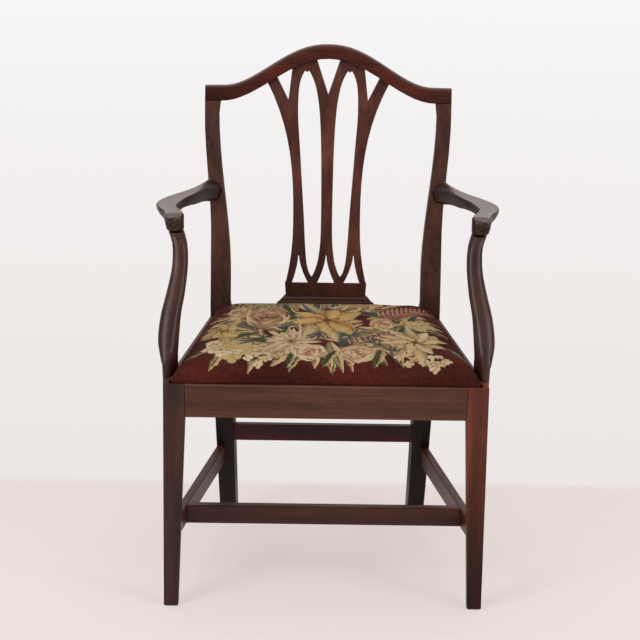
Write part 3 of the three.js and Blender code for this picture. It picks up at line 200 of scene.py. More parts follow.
# Woods: dark, middle, warm and worn tones, wear of the edges, roughness, polish
WOODS = {
    "mahogany": ("#3a251f", "#4d3029", "#5f392c", "#84583f", 0.35, 0.32, 0.05),
    "arm": ("#2a1611", "#3a1f18", "#4b271b", "#7d523b", 0.3, 0.3, 0.45),
    "support": ("#351e18", "#472922", "#5e3021", "#84583f", 0.35, 0.36, 0.12),
    "crest": ("#3a150e", "#4b1c12", "#622818", "#8a5a3c", 0.35, 0.32, 0.05),
    "splat": ("#45261e", "#583126", "#74402a", "#8f5d40", 0.35, 0.32, 0.05),
    "rail": ("#442619", "#553022", "#64392a", "#8a5f45", 0.4, 0.36, 0.05),
    "red_leg": ("#582b1c", "#733b27", "#894a2f", "#96633f", 0.5, 0.34, 0.05),
    "stretcher": ("#391810", "#4a2014", "#5c2a1a", "#7a4c34", 0.35, 0.34, 0.05),
    # A darker mahogany for the pieces low down at the back: aged wood with painted shade
    "old_mahogany_in_painted_shade": ("#290c06", "#3d1009", "#4c1a10", "#63402c", 0.25, 0.4, 0.05),
    "beech": ("#8d6a42", "#b08a5a", "#a87b48", "#c6a473", 0.2, 0.62, 0.05),
}
POLISH_AND_SHADE_TONE = "#120a08"
RUBBED_AND_SHEEN_TONE = "#85706a"
SCOOPED_SHADE_TONE = "#2b130d"
GLEAM = 0.28
# Painted light and shade along a piece, with some of the wood's own tone: darker or lighter toward one end
# as light falls on it; the axis, two distances from the origin, the share of light at each
TONE_AND_PAINTED_LIGHT_ALONG = {
    "crest_rail": (0, 0.11, 0.24, 1.0, 0.6),
    "splat": (2, 0.47, 0.66, 0.55, 1.0),
    "splat_shoe": (2, 0.47, 0.66, 0.6, 1.0),
    "rear_leg_left": (2, 0.36, 0.52, 0.18, 1.08), "rear_leg_right": (2, 0.36, 0.52, 0.16, 1.05),
    "front_leg_left": (2, 0.0, 0.42, 0.6, 0.86), "front_leg_right": (2, 0.0, 0.36, 0.18, 1.05),
    "arm_support_left": (2, 0.44, 0.6, 0.8, 1.0), "arm_support_right": (2, 0.44, 0.6, 1.2, 1.0),
}
# Figure of the wood: how many times it repeats in a metre, across the grain and along it
WARP = (7.0, 2.4)
STREAKS = (48.0, 1.3)
PATCHES = (11.0, 3.4)
FINE_GRAIN = (380.0, 9.0)
RIBBONS = (16.0, 38.0)
PORES = (1300.0, 60.0)
DRIFT = (9.0, 5.0)
RUBS = 34.0
WARP_REACH = 22 * MM
WORN_RADIUS = 1.6 * MM
POLISH_AND_SHADE_REACH = 12 * MM
GRAIN_RELIEF = 0.4 * MM
RUST_RELIEF = 0.2 * MM
THREAD_RELIEF = 0.5 * MM
STITCH_RELIEF = 0.6 * MM
SEED_SHIFT = (0.37, 0.629, 0.851)


def wood(name, kind, axis, seed, turn=0.0, tone_and_light=None):
    """Figured wood whose grain runs along an axis, turned about the vertical by an angle."""
    dark, middle, warm, worn, wear, roughness, polish = WOODS[kind]
    g = material_graph(name)
    place = g.node("TexCoord").outputs["Object"]
    shift = tuple((seed + 1) * k for k in SEED_SHIFT)
    placed = g.node("Mapping", {"Vector": place, "Location": shift, "Rotation": (0.0, 0.0, turn)},
                    vector_type="POINT").outputs[0]

    def grain(vector, scales):
        across, length = scales
        return g.scaled(vector, tuple(length if letter == axis else across for letter in "xyz"))

    warp = g.noise(grain(placed, WARP), output="Color")
    centred = g.node("VectorMath", {0: warp, 1: (0.5, 0.5, 0.5)}, operation="SUBTRACT").outputs[0]
    bent = g.node("VectorMath", {0: centred, 1: (WARP_REACH,) * 3, 2: placed},
                  operation="MULTIPLY_ADD").outputs[0]
    streak = g.noise(grain(bent, STREAKS), detail=4.0, rough=0.6)
    patch = g.noise(grain(bent, PATCHES), detail=3.0, rough=0.55)
    fine = g.noise(grain(bent, FINE_GRAIN), detail=3.0, rough=0.6)
    ribbon = g.noise(grain(bent, RIBBONS))
    pore = g.remap(g.noise(grain(bent, PORES), detail=1.0), 0.60, 0.70)
    drift = g.noise(grain(placed, DRIFT))

    colour = g.mix(g.remap(streak, 0.36, 0.66), dark, middle)
    colour = g.mix(g.times(g.remap(patch, 0.48, 0.74), 0.8), colour, warm)
    tone = g.remap(fine, 0.25, 0.75, 0.66, 1.34, "LINEAR")
    tone = g.times(tone, g.remap(ribbon, 0.2, 0.8, 0.9, 1.1, "LINEAR"))
    tone = g.times(tone, g.remap(pore, 0.0, 1.0, 1.0, 0.62, "LINEAR"))
    tone = g.times(tone, g.remap(drift, 0.3, 0.7, 0.74, 1.16, "LINEAR"))
    gleam = GLEAM
    if tone_and_light:
        # Painted light and shade along the piece, scaling its colour; the mean share also scales the gleam
        along, near, far, share_near, share_far = tone_and_light
        distance = g.math("ABSOLUTE", g.part(place, along))
        tone = g.times(tone, g.remap(distance, near, far, share_near, share_far))
        gleam *= (share_near + share_far) / 2
    colour = g.shaded(colour, tone)

    # Edges are rubbed pale here and there, and where other surfaces come close, in hollows, corners and
    # joints, the wood turns darker: old dark polish and painted shade
    soft = g.node("Bevel", {"Radius": WORN_RADIUS}, samples=4).outputs[0]
    true = g.node("NewGeometry").outputs["Normal"]
    turned = g.node("VectorMath", {0: soft, 1: true}, operation="DOT_PRODUCT").outputs["Value"]
    rub = g.times(g.remap(turned, 0.985, 0.86), g.remap(g.noise(placed, RUBS, 3.0), 0.38, 0.62))
    colour = g.mix(g.times(rub, wear), colour, worn)
    # Darker near other surfaces: old dark polish with painted shade
    polish_and_shade = g.node("AmbientOcclusion", {"Distance": POLISH_AND_SHADE_REACH}, samples=6).outputs["AO"]
    colour = g.mix(g.remap(polish_and_shade, 0.75, 0.25, 0.0, 0.55), colour, POLISH_AND_SHADE_TONE)
    if kind == "arm":
        # The faces turned up get a pale tone: rubbed wear and a painted sheen. The scooped side, toward
        # the middle of the chair, and to a lesser degree the front of the knuckle, get painted shade by
        # the way they face, and less polish
        hand = g.math("SIGN", g.part(place, 0))
        inward = g.times(g.times(g.part(true, 0), hand), -1.0)
        scooped_shade = g.remap(inward, 0.2, 0.75, 0.0, 0.85)
        front = g.remap(g.part(true, 1), -0.7, -0.95, 0.0, 0.45)
        shade_and_dull = g.math("MAXIMUM", scooped_shade, front)
        # Pale tone on the upward faces: rubbed wear and painted sheen
        colour = g.mix(g.remap(g.part(true, 2), 0.8, 0.99, 0.0, 0.4), colour, RUBBED_AND_SHEEN_TONE)
        # Painted shade on the faces turned inward and to the front, which also get less polish
        colour = g.mix(shade_and_dull, colour, SCOOPED_SHADE_TONE)
        polish = g.remap(shade_and_dull, 0.0, 0.85, polish, 0.0, "LINEAR")

    rough = g.plus(roughness, g.remap(patch, 0.3, 0.75, -0.05, 0.1, "LINEAR"))
    rough = g.plus(rough, g.times(fine, 0.08))
    relief = g.math("SUBTRACT", g.times(fine, 0.35), pore)
    bump = g.node("Bump", {"Height": relief, "Strength": 0.16, "Distance": GRAIN_RELIEF, "Normal": soft})
    return g.finish(g.node("BsdfPrincipled", {
        "Base Color": colour, "Roughness": rough, "Normal": bump.outputs[0],
        "Specular IOR Level": gleam, "Coat Weight": polish, "Coat Roughness": 0.2,
    }))


def steel():
    """Rusty screws."""
    g = material_graph("screw_steel")
    place = g.node("TexCoord").outputs["Object"]
    rust = g.remap(g.noise(place, 260.0, 4.0, 0.6), 0.42, 0.62)
    scratch = g.noise(g.scaled(place, (900.0, 900.0, 120.0)))
    colour = g.mix(rust, "#8b8781", "#4c352a")
    rough = g.plus(g.remap(rust, 0.0, 1.0, 0.38, 0.8, "LINEAR"), g.times(scratch, 0.1))
    bump = g.node("Bump", {"Height": g.plus(scratch, rust), "Strength": 0.2, "Distance": RUST_RELIEF})
    return g.finish(g.node("BsdfPrincipled", {
        "Base Color": colour, "Roughness": rough, "Metallic": 0.85, "Normal": bump.outputs[0],
    }))


def weave(name, tone, shade, pitch):
    """Plain woven jute, from a map in metres named weave."""
    g = material_graph(name)
    place = g.node("UVMap", uv_map="weave").outputs[0]
    cells = g.scaled(place, (1 / pitch, 1 / pitch, 1.0))
    checks = g.node("TexChecker", {"Vector": cells, "Scale": 1.0}).outputs["Fac"]

    def thread(value):
        wave = g.math("SINE", g.times(value, pi))
        return g.math("POWER", g.math("ABSOLUTE", wave), 0.6)

    over = g.node("Mix", {"Factor": checks, 2: thread(g.part(cells, 0)), 3: thread(g.part(cells, 1))},
                  data_type="FLOAT").outputs[0]
    slub = g.noise(g.scaled(place, (180.0, 900.0, 1.0)), detail=3.0)
    fuzz = g.noise(g.scaled(place, (2400.0, 2400.0, 1.0)))
    stain = g.noise(g.scaled(place, (9.0, 9.0, 1.0)), detail=3.0)
    colour = g.mix(g.remap(slub, 0.3, 0.7), tone, shade)
    colour = g.mix(g.times(g.remap(stain, 0.45, 0.75), 0.5), colour, "#5b4529")
    # Darker where a thread dips under its neighbour: painted shade in the weave
    colour = g.shaded(colour, g.remap(over, 0.0, 0.8, 0.45, 1.08, "LINEAR"))
    height = g.plus(over, g.times(fuzz, 0.25))
    bump = g.node("Bump", {"Height": height, "Strength": 0.7, "Distance": THREAD_RELIEF})
    return g.finish(g.node("BsdfPrincipled", {
        "Base Color": colour, "Roughness": 0.92, "Normal": bump.outputs[0], "Sheen Weight": 0.15,
    }))


def needlework_material():
    """Wool stitches: the yarns' colours are on the mesh, and each cell of the map is one stitch."""
    g = material_graph("needlework")
    yarn = g.node("Attribute", attribute_name="yarn").outputs["Color"]
    place = g.node("UVMap", uv_map="stitches").outputs[0]
    fx, fy = [g.math("SUBTRACT", g.math("FRACT", g.part(place, i)), 0.5) for i in (0, 1)]
    across = g.times(g.math("SUBTRACT", fx, fy), 1.45)
    length = g.times(g.plus(fx, fy), 0.85)
    bulge = g.math("SUBTRACT", 1.0, g.plus(g.times(across, across), g.times(length, length)), clamp=True)
    strand = g.noise(place, 6.0)
    broad = g.noise(place, 0.045, 3.0)
    tone = g.times(g.remap(strand, 0.2, 0.8, 0.86, 1.14, "LINEAR"),
                   g.remap(broad, 0.3, 0.7, 0.88, 1.1, "LINEAR"))
    # Each stitch is darker toward its edges: painted shade between the stitches, over the yarn's random
    # tone
    colour = g.shaded(yarn, g.times(g.remap(bulge, 0.1, 0.9, 0.68, 1.08, "LINEAR"), tone))
    height = g.plus(bulge, g.times(strand, 0.3))
    bump = g.node("Bump", {"Height": height, "Strength": 0.55, "Distance": STITCH_RELIEF})
    return g.finish(g.node("BsdfPrincipled", {
        "Base Color": colour, "Roughness": 0.9, "Normal": bump.outputs[0], "Specular IOR Level": 0.08,
    }))


# The solids: smooth shading over shallow angles, and their woods
SIDE_SPLAY = atan((SEAT_FRONT_HALF - SEAT_BACK_HALF) / SEAT_DEPTH)
SHALLOW_ANGLE = radians(32)
SEAM = 0.01 * MM


def shading_group():
    """Closes the seams between faces and shades shallow edges smooth."""
    tree = bpy.data.node_groups.new("shade_shallow_edges", "GeometryNodeTree")
    for way in ("INPUT", "OUTPUT"):
        tree.interface.new_socket("Geometry", in_out=way, socket_type="NodeSocketGeometry")
    make, link = tree.nodes.new, tree.links.new
    start, end = make("NodeGroupInput"), make("NodeGroupOutput")
    weld = make("GeometryNodeMergeByDistance")
    weld.inputs["Distance"].default_value = SEAM
    whole, sharp = make("GeometryNodeSetShadeSmooth"), make("GeometryNodeSetShadeSmooth")
    sharp.domain = "EDGE"
    sharp.inputs["Shade Smooth"].default_value = False
    edge = make("GeometryNodeInputMeshEdgeAngle")
    steep = make("FunctionNodeCompare")
    steep.data_type = "FLOAT"
    steep.operation = "GREATER_THAN"
    steep.inputs[1].default_value = SHALLOW_ANGLE
    link(start.outputs[0], weld.inputs["Geometry"])
    link(weld.outputs["Geometry"], whole.inputs["Geometry"])
    link(whole.outputs[0], sharp.inputs["Geometry"])
    link(edge.outputs["Unsigned Angle"], steep.inputs[0])
    link(steep.outputs[0], sharp.inputs["Selection"])
    link(sharp.outputs[0], end.inputs[0])
    return tree


SHADING = shading_group()


def dress(name, material):
    piece = nodes[name]
    mesh = piece.data
    for old in ("custom_normal", "sharp_edge", "sharp_face"):
        if old in mesh.attributes:
            mesh.attributes.remove(mesh.attributes[old])
    shade = piece.modifiers.new("shade", "NODES")
    shade.node_group = SHADING
    mesh.materials.clear()
    mesh.materials.append(material)


def sided(stem):
    return [f"{stem}_left", f"{stem}_right"]


WOODEN = [
    # stem, wood at the left and the right or of the only piece, grain, turn about the vertical at the left
    ("front_leg", ("mahogany", "red_leg"), "z", 0.0),
    ("rear_leg", ("mahogany", "mahogany"), "z", 0.0),
    ("crest_rail", ("crest",), "x", 0.0),
    ("splat", ("splat",), "z", 0.0),
    ("splat_shoe", ("splat",), "x", 0.0),
    ("front_seat_rail", ("rail",), "x", 0.0),
    ("back_seat_rail", ("old_mahogany_in_painted_shade",), "x", 0.0),
    ("side_seat_rail", ("rail", "rail"), "y", SIDE_SPLAY),
    ("side_stretcher", ("stretcher", "stretcher"), "y", SIDE_SPLAY),
    ("cross_stretcher", ("stretcher",), "x", 0.0),
    ("rear_stretcher", ("old_mahogany_in_painted_shade",), "x", 0.0),
    ("arm", ("arm", "arm"), "y", -0.25),
    ("arm_support", ("support", "support"), "z", 0.0),
    ("arm_screw_plug", ("mahogany", "mahogany"), "x", 0.0),
    ("front_corner_block", ("beech", "beech"), "x", 0.8),
    ("back_corner_block", ("beech", "beech"), "x", -0.8),
    ("seat_frame_front", ("beech",), "x", 0.0),
    ("seat_frame_back", ("beech",), "x", 0.0),
    ("seat_frame_side", ("beech", "beech"), "y", SIDE_SPLAY),
]
seed = 0
for stem, kinds, axis, turn in WOODEN:
    names = sided(stem) if len(kinds) == 2 else [stem]
    for node, kind, hand in zip(names, kinds, (1, -1)):
        dress(node, wood(f"{node}_wood", kind, axis, seed, hand * turn, TONE_AND_PAINTED_LIGHT_ALONG.get(node)))
        seed += 1

screw_steel = steel()
for stem in ("front_support", "back_support", "front_block", "back_block", "arm"):
    for node in sided(f"{stem}_screw"):
        dress(node, screw_steel)


# Meshes


def new_object(name, data):
    made = bpy.data.objects.new(name, data)
    scene.collection.objects.link(made)
    return made


def new_mesh(name, points, faces, material):
    mesh = bpy.data.meshes.new(name)
    mesh.from_pydata([tuple(p) for p in points], [], [tuple(int(i) for i in face) for face in faces])
    mesh.materials.append(material)
    mesh.polygons.foreach_set("use_smooth", [True] * len(mesh.polygons))
    mesh.update()
    return new_object(name, mesh)


def set_map(mesh, name, per_point):
    """A UV map from one pair of values at each point."""
    layer = mesh.uv_layers.new(name=name)
    corners = np.empty(len(mesh.loops), int)
    mesh.loops.foreach_get("vertex_index", corners)
    layer.data.foreach_set("uv", np.asarray(per_point, float)[corners].ravel())


# Needlework seat


def half_width(y):
    """Half the cover's width at a distance behind the front plane."""
    rail = SEAT_FRONT_HALF + (SEAT_BACK_HALF - SEAT_FRONT_HALF) * y / SEAT_DEPTH
    return rail - LIP - SEAT_EASE / cos(SIDE_SPLAY)


PLAN_FRONT = LIP + SEAT_EASE
PLAN_BACK = SEAT_DEPTH - SEAT_EASE


def rounded_edge(share):
    return np.sqrt(1 - (1 - np.clip(share, 0, 1)) ** 2)


def crown_height(x, y):
    """The solid's own crown above its edge."""
    side = (half_width(y) - np.abs(x)) * cos(SIDE_SPLAY)
    rise = (rounded_edge(side / EDGE_SIDE) * rounded_edge((y - PLAN_FRONT) / EDGE_FRONT)
            * rounded_edge((PLAN_BACK - y) / EDGE_BACK))
    dome = np.sin(pi * y / SEAT_DEPTH) * np.cos(pi * x / (2 * SEAT_FRONT_HALF))
    return rise * (CROWN + CROWN_DOME * np.clip(dome, 0, 1))


def edge_distances(width, pitch):
    """Plan distances from an edge to points spaced evenly along the rounded profile, and its length."""
    fine = (1 - np.cos(np.linspace(0, pi / 2, PROFILE_SAMPLES))) * width
    heights = rounded_edge(fine / width) * CROWN
    lengths = np.concatenate([[0], np.cumsum(np.hypot(np.diff(fine), np.diff(heights)))])
    count = max(2, round(lengths[-1] / pitch))
    return np.interp(np.linspace(0, lengths[-1], count + 1), lengths, fine), lengths[-1]


def edge_middle_edge(first, inner, last):
    """Parameters from 0 to 1 along one edge, to 2 along the middle and to 3 along the other edge."""
    return np.concatenate([np.linspace(0, 1, len(first))[:-1], np.linspace(1, 2, inner + 1),
                           np.linspace(2, 3, len(last))[1:]])


def seat_lines(pitch):
    """Rows of the seat: parameters, plan places and lengths along the cloth."""
    front, front_length = edge_distances(EDGE_FRONT, pitch)
    back, back_length = edge_distances(EDGE_BACK, pitch)
    inner = round((PLAN_BACK - PLAN_FRONT - EDGE_FRONT - EDGE_BACK) / pitch)
    middle = np.linspace(PLAN_FRONT + EDGE_FRONT, PLAN_BACK - EDGE_BACK, inner + 1)
    places = np.concatenate([PLAN_FRONT + front[:-1], middle, (PLAN_BACK - back[:-1])[::-1]])
    flat = middle[-1] - middle[0]
    lengths = np.concatenate([np.linspace(0, front_length, len(front))[:-1],
                              front_length + middle - middle[0],
                              front_length + flat + np.linspace(0, back_length, len(back))[1:]])
    return edge_middle_edge(front, inner, back), places, lengths


def seat_columns(pitch):
    """Columns of the seat: parameters, plan distances from the side and the side's length."""
    side, side_length = edge_distances(EDGE_SIDE, pitch)
    inner = 2 * round((SEAT_FRONT_HALF - LIP - EDGE_SIDE) / pitch)
    return edge_middle_edge(side, inner, side), side, side_length


def seat_top(pitch):
    """Points of the top as a grid of rows and columns, their places on the cloth, and the parameters."""
    row_params, places, row_lengths = seat_lines(pitch)
    column_params, side, side_length = seat_columns(pitch)
    side_params = np.linspace(0, 1, len(side))
    points = np.empty((len(places), len(column_params), 3))
    cloth = np.empty((len(places), len(column_params), 2))
    for r, y in enumerate(places):
        half = half_width(y)
        share = np.minimum(column_params, 3 - column_params)
        from_edge = np.interp(share, side_params, side / cos(SIDE_SPLAY))
        inner = half - side[-1] / cos(SIDE_SPLAY)
        across = np.where(share < 1, half - from_edge, inner * np.abs(2 * column_params - 3))
        sign = np.where(column_params < 1.5, -1.0, 1.0)
        along = np.where(share < 1, inner + side_length * (1 - share), across)
        points[r, :, 0] = sign * across
        points[r, :, 1] = y
        cloth[r, :, 0] = sign * along
        cloth[r, :, 1] = row_lengths[r]
    points[..., 2] = crown_height(points[..., 0], points[..., 1])
    round_corners(points)
    points[..., 1] += FRONT_PLANE
    points[..., 2] += COVER_EDGE
    return points, cloth, row_params, column_params


def round_corners(points):
    """Draws the plan's square corners in to arcs."""
    x, y = points[..., 0], points[..., 1]
    for side in (-1, 1):
        for end, inward in ((PLAN_FRONT, 1), (PLAN_BACK, -1)):
            u = CORNER_RADIUS - half_width(y) + side * x
            v = CORNER_RADIUS - inward * (y - end)
            corner = (u > 0) & (v > 0)
            drawn_in = np.where(corner, 1 - np.maximum(u, v) / np.maximum(np.hypot(u, v), 1e-9), 0.0)
            x -= side * u * drawn_in
            y += inward * v * drawn_in


def ring_of(rows, columns):
    """Indices of a grid's border, once round."""
    grid = np.arange(rows * columns).reshape(rows, columns)
    return np.concatenate([grid[0, :-1], grid[:-1, -1], grid[-1, :0:-1], grid[:0:-1, 0]])


def grid_faces(rows, columns):
    grid = np.arange(rows * columns).reshape(rows, columns)
    return np.stack([grid[:-1, :-1], grid[:-1, 1:], grid[1:, 1:], grid[1:, :-1]], -1).reshape(-1, 4)


def ring_faces(upper, lower):
    return np.stack([upper, lower, np.roll(lower, -1), np.roll(upper, -1)], -1)


def slab_faces(rows, columns):
    """Faces of two grids of points, the upper one first, closed round their border."""
    top = grid_faces(rows, columns)
    border = ring_of(rows, columns)
    below = rows * columns
    return np.concatenate([top, top[:, ::-1] + below, ring_faces(border, border + below)])


# The cover as a cloth, pinned at its border and pressed from below
CLOTH = {
    "quality": 6, "mass": 0.3, "tension_stiffness": 12.0, "compression_stiffness": 12.0,
    "shear_stiffness": 6.0, "bending_stiffness": 1.5, "vertex_group_mass": "pinned",
    "use_pressure": True, "uniform_pressure_force": 4.0,
}
CLOTH_STEPS = 20


def swell():
    """How far a pressed, pinned cloth moves from the plain crown, on a coarse grid."""
    points, _, row_params, column_params = seat_top(SIMULATION_PITCH)
    rows, columns = points.shape[:2]
    start = points.reshape(-1, 3).copy()
    start[:, 2] = COVER_EDGE + (start[:, 2] - COVER_EDGE) * (1 - SWELL / CROWN)
    border = ring_of(rows, columns)
    cloth = new_mesh("swelling", start, grid_faces(rows, columns), None)
    group = cloth.vertex_groups.new(name="pinned")
    group.add([int(i) for i in border], 1.0, "REPLACE")
    cloth.vertex_groups.active_index = 0
    settings = cloth.modifiers.new("cloth", "CLOTH").settings
    for key, value in CLOTH.items():
        setattr(settings, key, value)
    settings.effector_weights.gravity = 0.0
    for step in range(1, CLOTH_STEPS + 1):
        scene.frame_set(step)
    graph = bpy.context.evaluated_depsgraph_get()
    shaped = cloth.evaluated_get(graph).data
    moved = np.empty(len(shaped.vertices) * 3)
    shaped.vertices.foreach_get("co", moved)
    moved = moved.reshape(-1, 3) - points.reshape(-1, 3)
    scene.frame_set(1)
    bpy.data.objects.remove(cloth)
    lengths = np.linalg.norm(moved, axis=1, keepdims=True)
    moved *= np.minimum(1, SWELL_CAP / np.maximum(lengths, 1e-9))
    return moved.reshape(rows, columns, 3), row_params, column_params


def between(values, rows_from, columns_from, rows_to, columns_to):
    """Values of one grid at the parameters of another."""

    def stretch(grid, old, new, axis):
        return np.apply_along_axis(lambda line: np.interp(new, old, line), axis, grid)

    return stretch(stretch(values, rows_from, rows_to, 0), columns_from, columns_to, 1)


YARNS = {name: np.array(srgb(code)) for name, code in {
    "ground": "#451d16", "ground_dark": "#381510", "ground_red": "#56221a",
    "gold": "#b08a50", "amber": "#966836", "straw": "#ae9463", "cream": "#b79e79", "white": "#bfab88",
    "tan": "#927455", "brown": "#5a3d2c", "umber": "#3b241d", "olive": "#50492d", "green": "#3a4028",
    "sage": "#6d6749", "slate": "#41444a", "grey": "#756b54", "rose": "#9a6a55", "pink": "#a58068",
    "dusty": "#6f3a2f",
}.items()}
# Yarns of a leaf, from its lower side to its upper side
LEAVES = {
    "fresh": ["green", "green", "olive", "sage", "straw"],
    "dry": ["brown", "tan", "straw", "cream"],
    "pale": ["sage", "tan", "straw", "cream"],
    "cool": ["slate", "grey", "sage", "straw"],
    "dark": ["slate", "green", "olive"],
}
# The bouquet. Across and back are shares of half the seat's width and of its depth, headings are in
# degrees, and lengths, widths and radii in millimetres.
OUTER_LEAVES = 44
OUTER_KINDS = ["pale", "fresh", "dry", "cool", "pale", "fresh", "dry"]
OUTER_WIDTHS = (20, 30)
SCATTERED_LEAVES = 46
SCATTERED_KINDS = ["cool", "fresh", "dark", "dry", "pale"]
SCATTERED_LENGTHS = (50, 80)
SCATTERED_WIDTHS = (15, 22)
GOLDEN_ANGLE = 2.4
INNER_LEAVES = [
    # across, back, heading, length, width, kind
    (-0.10, 0.46, 215, 90, 26, "cool"), (0.08, 0.44, 300, 90, 26, "dark"),
    (0.20, 0.50, 340, 100, 26, "pale"), (-0.16, 0.58, 160, 100, 26, "fresh"),
    (0.10, 0.70, 60, 110, 24, "pale"), (-0.10, 0.74, 115, 110, 24, "dry"),
    (0.26, 0.62, 20, 120, 22, "pale"), (0.30, 0.44, 250, 90, 24, "dry"),
    (-0.46, 0.46, 150, 90, 24, "cool"), (-0.44, 0.40, 200, 90, 22, "fresh"),
    (0.02, 0.30, 280, 90, 24, "pale"), (0.36, 0.26, 200, 80, 22, "pale"),
    (-0.02, 0.36, 180, 110, 24, "dark"), (0.06, 0.34, 10, 100, 22, "cool"),
    (0.34, 0.36, 300, 80, 22, "pale"), (-0.28, 0.80, 130, 90, 24, "cool"),
    (0.36, 0.78, 35, 90, 20, "dry"), (-0.36, 0.26, 240, 90, 22, "dry"),
    (-0.24, 0.52, 250, 80, 26, "fresh"), (-0.12, 0.40, 30, 90, 26, "dark"),
    (0.18, 0.46, 270, 90, 28, "cool"), (-0.40, 0.48, 20, 90, 26, "cool"),
    (0.30, 0.50, 320, 80, 24, "pale"), (0.44, 0.66, 160, 90, 22, "dark"),
    (-0.16, 0.70, 200, 80, 24, "dark"), (-0.52, 0.56, 330, 80, 24, "dry"),
    (0.46, 0.46, 60, 80, 24, "fresh"),
]
HANGING_LEAVES = [
    (-0.32, 0.20, 228, 66, 26, "fresh"), (-0.20, 0.20, 262, 56, 22, "fresh"),
    (-0.02, 0.19, 290, 60, 20, "pale"), (0.06, 0.20, 250, 58, 20, "fresh"),
    (0.34, 0.21, 262, 58, 28, "fresh"), (0.40, 0.20, 300, 54, 22, "cool"),
    (-0.72, 0.22, 216, 56, 20, "fresh"), (-0.64, 0.17, 250, 56, 20, "pale"),
    (0.76, 0.28, 322, 58, 20, "cool"),
]
PLUMES = [
    # start, tip, pairs, length, yarns
    ((0.36, 0.66), (0.66, 0.80), 11, 34, ["dusty", "rose", "pink"]),
    ((0.16, 0.28), (0.40, 0.42), 8, 26, ["dusty", "rose", "pink"]),
    ((-0.28, 0.84), (-0.60, 0.86), 9, 30, ["sage", "grey", "straw"]),
]
STEM_WIDTH = 7 * MM
STAMEN_WIDTH = 4 * MM
STROKE_STEPS = 60
STEMS = [
    # root, bend, tip, yarns
    ((-0.44, 0.56), (-0.62, 0.66), (-0.76, 0.52), ["tan", "straw", "cream"]),
    ((0.40, 0.52), (0.62, 0.58), (0.78, 0.46), ["olive", "tan", "straw"]),
]
CLUSTERS = [
    # across, back, radius, yarns, shade, blossoms
    (-0.60, 0.22, 44, ["cream", "white", "straw"], "sage", 12),
    (-0.43, 0.13, 24, ["white", "cream"], "brown", 7),
    (0.50, 0.145, 24, ["cream", "pink"], "brown", 7),
    (0.66, 0.12, 25, ["white", "cream"], "brown", 8),
    (-0.22, 0.88, 26, ["grey", "sage", "tan"], "slate", 8),
    (0.22, 0.86, 24, ["straw", "tan"], "olive", 7),
    (0.60, 0.55, 26, ["cream", "straw"], "sage", 8),
]
ROSES = [
    # across, back, radius, yarns, shade
    (-0.38, 0.64, 41.4, ["brown", "tan", "rose", "tan", "cream"], "umber"),
    (-0.11, 0.19, 32.4, ["rose", "pink", "cream", "white"], "dusty"),
    (0.19, 0.18, 34.2, ["rose", "pink", "cream", "cream"], "dusty"),
    (0.36, 0.56, 23.4, ["rose", "pink", "straw", "cream"], "dusty"),
    (-0.56, 0.72, 23.4, ["tan", "straw", "cream"], "brown"),
    (-0.30, 0.18, 23.4, ["tan", "straw", "cream"], "brown"),
]
DAHLIA = (-0.22, 0.31, 54, ["rose", "pink", "cream", "white"], "brown", 0.3)
LILIES = [
    # across, back, petals, length, width, yarns, yarns of the petals below, vein, turn
    (-0.66, 0.44, 5, 44, 30, ["tan", "gold", "straw", "cream"], ["tan", "tan", "straw"], "brown", 0.5),
    (0.56, 0.32, 6, 68, 28, ["tan", "straw", "cream", "white"], ["grey", "tan", "straw", "cream"],
     "brown", 0.15),
    (0.01, 0.60, 6, 82, 42, ["amber", "amber", "gold", "straw", "gold"],
     ["slate", "slate", "grey", "straw", "cream"], "brown", 0.35),
]
SPRIG_LEAVES = 4
SPRIG_SPREAD = 28
SPRIG_LENGTH = 32 * MM
SPRIG_WIDTH = 9 * MM
SPRIGS = [(0.16, 0.40, 20), (-0.04, 0.42, 250), (0.40, 0.20, 80), (-0.46, 0.30, 160), (0.30, 0.30, 140)]


def toward(place, angle, distance):
    return place[0] + cos(angle) * distance, place[1] + sin(angle) * distance


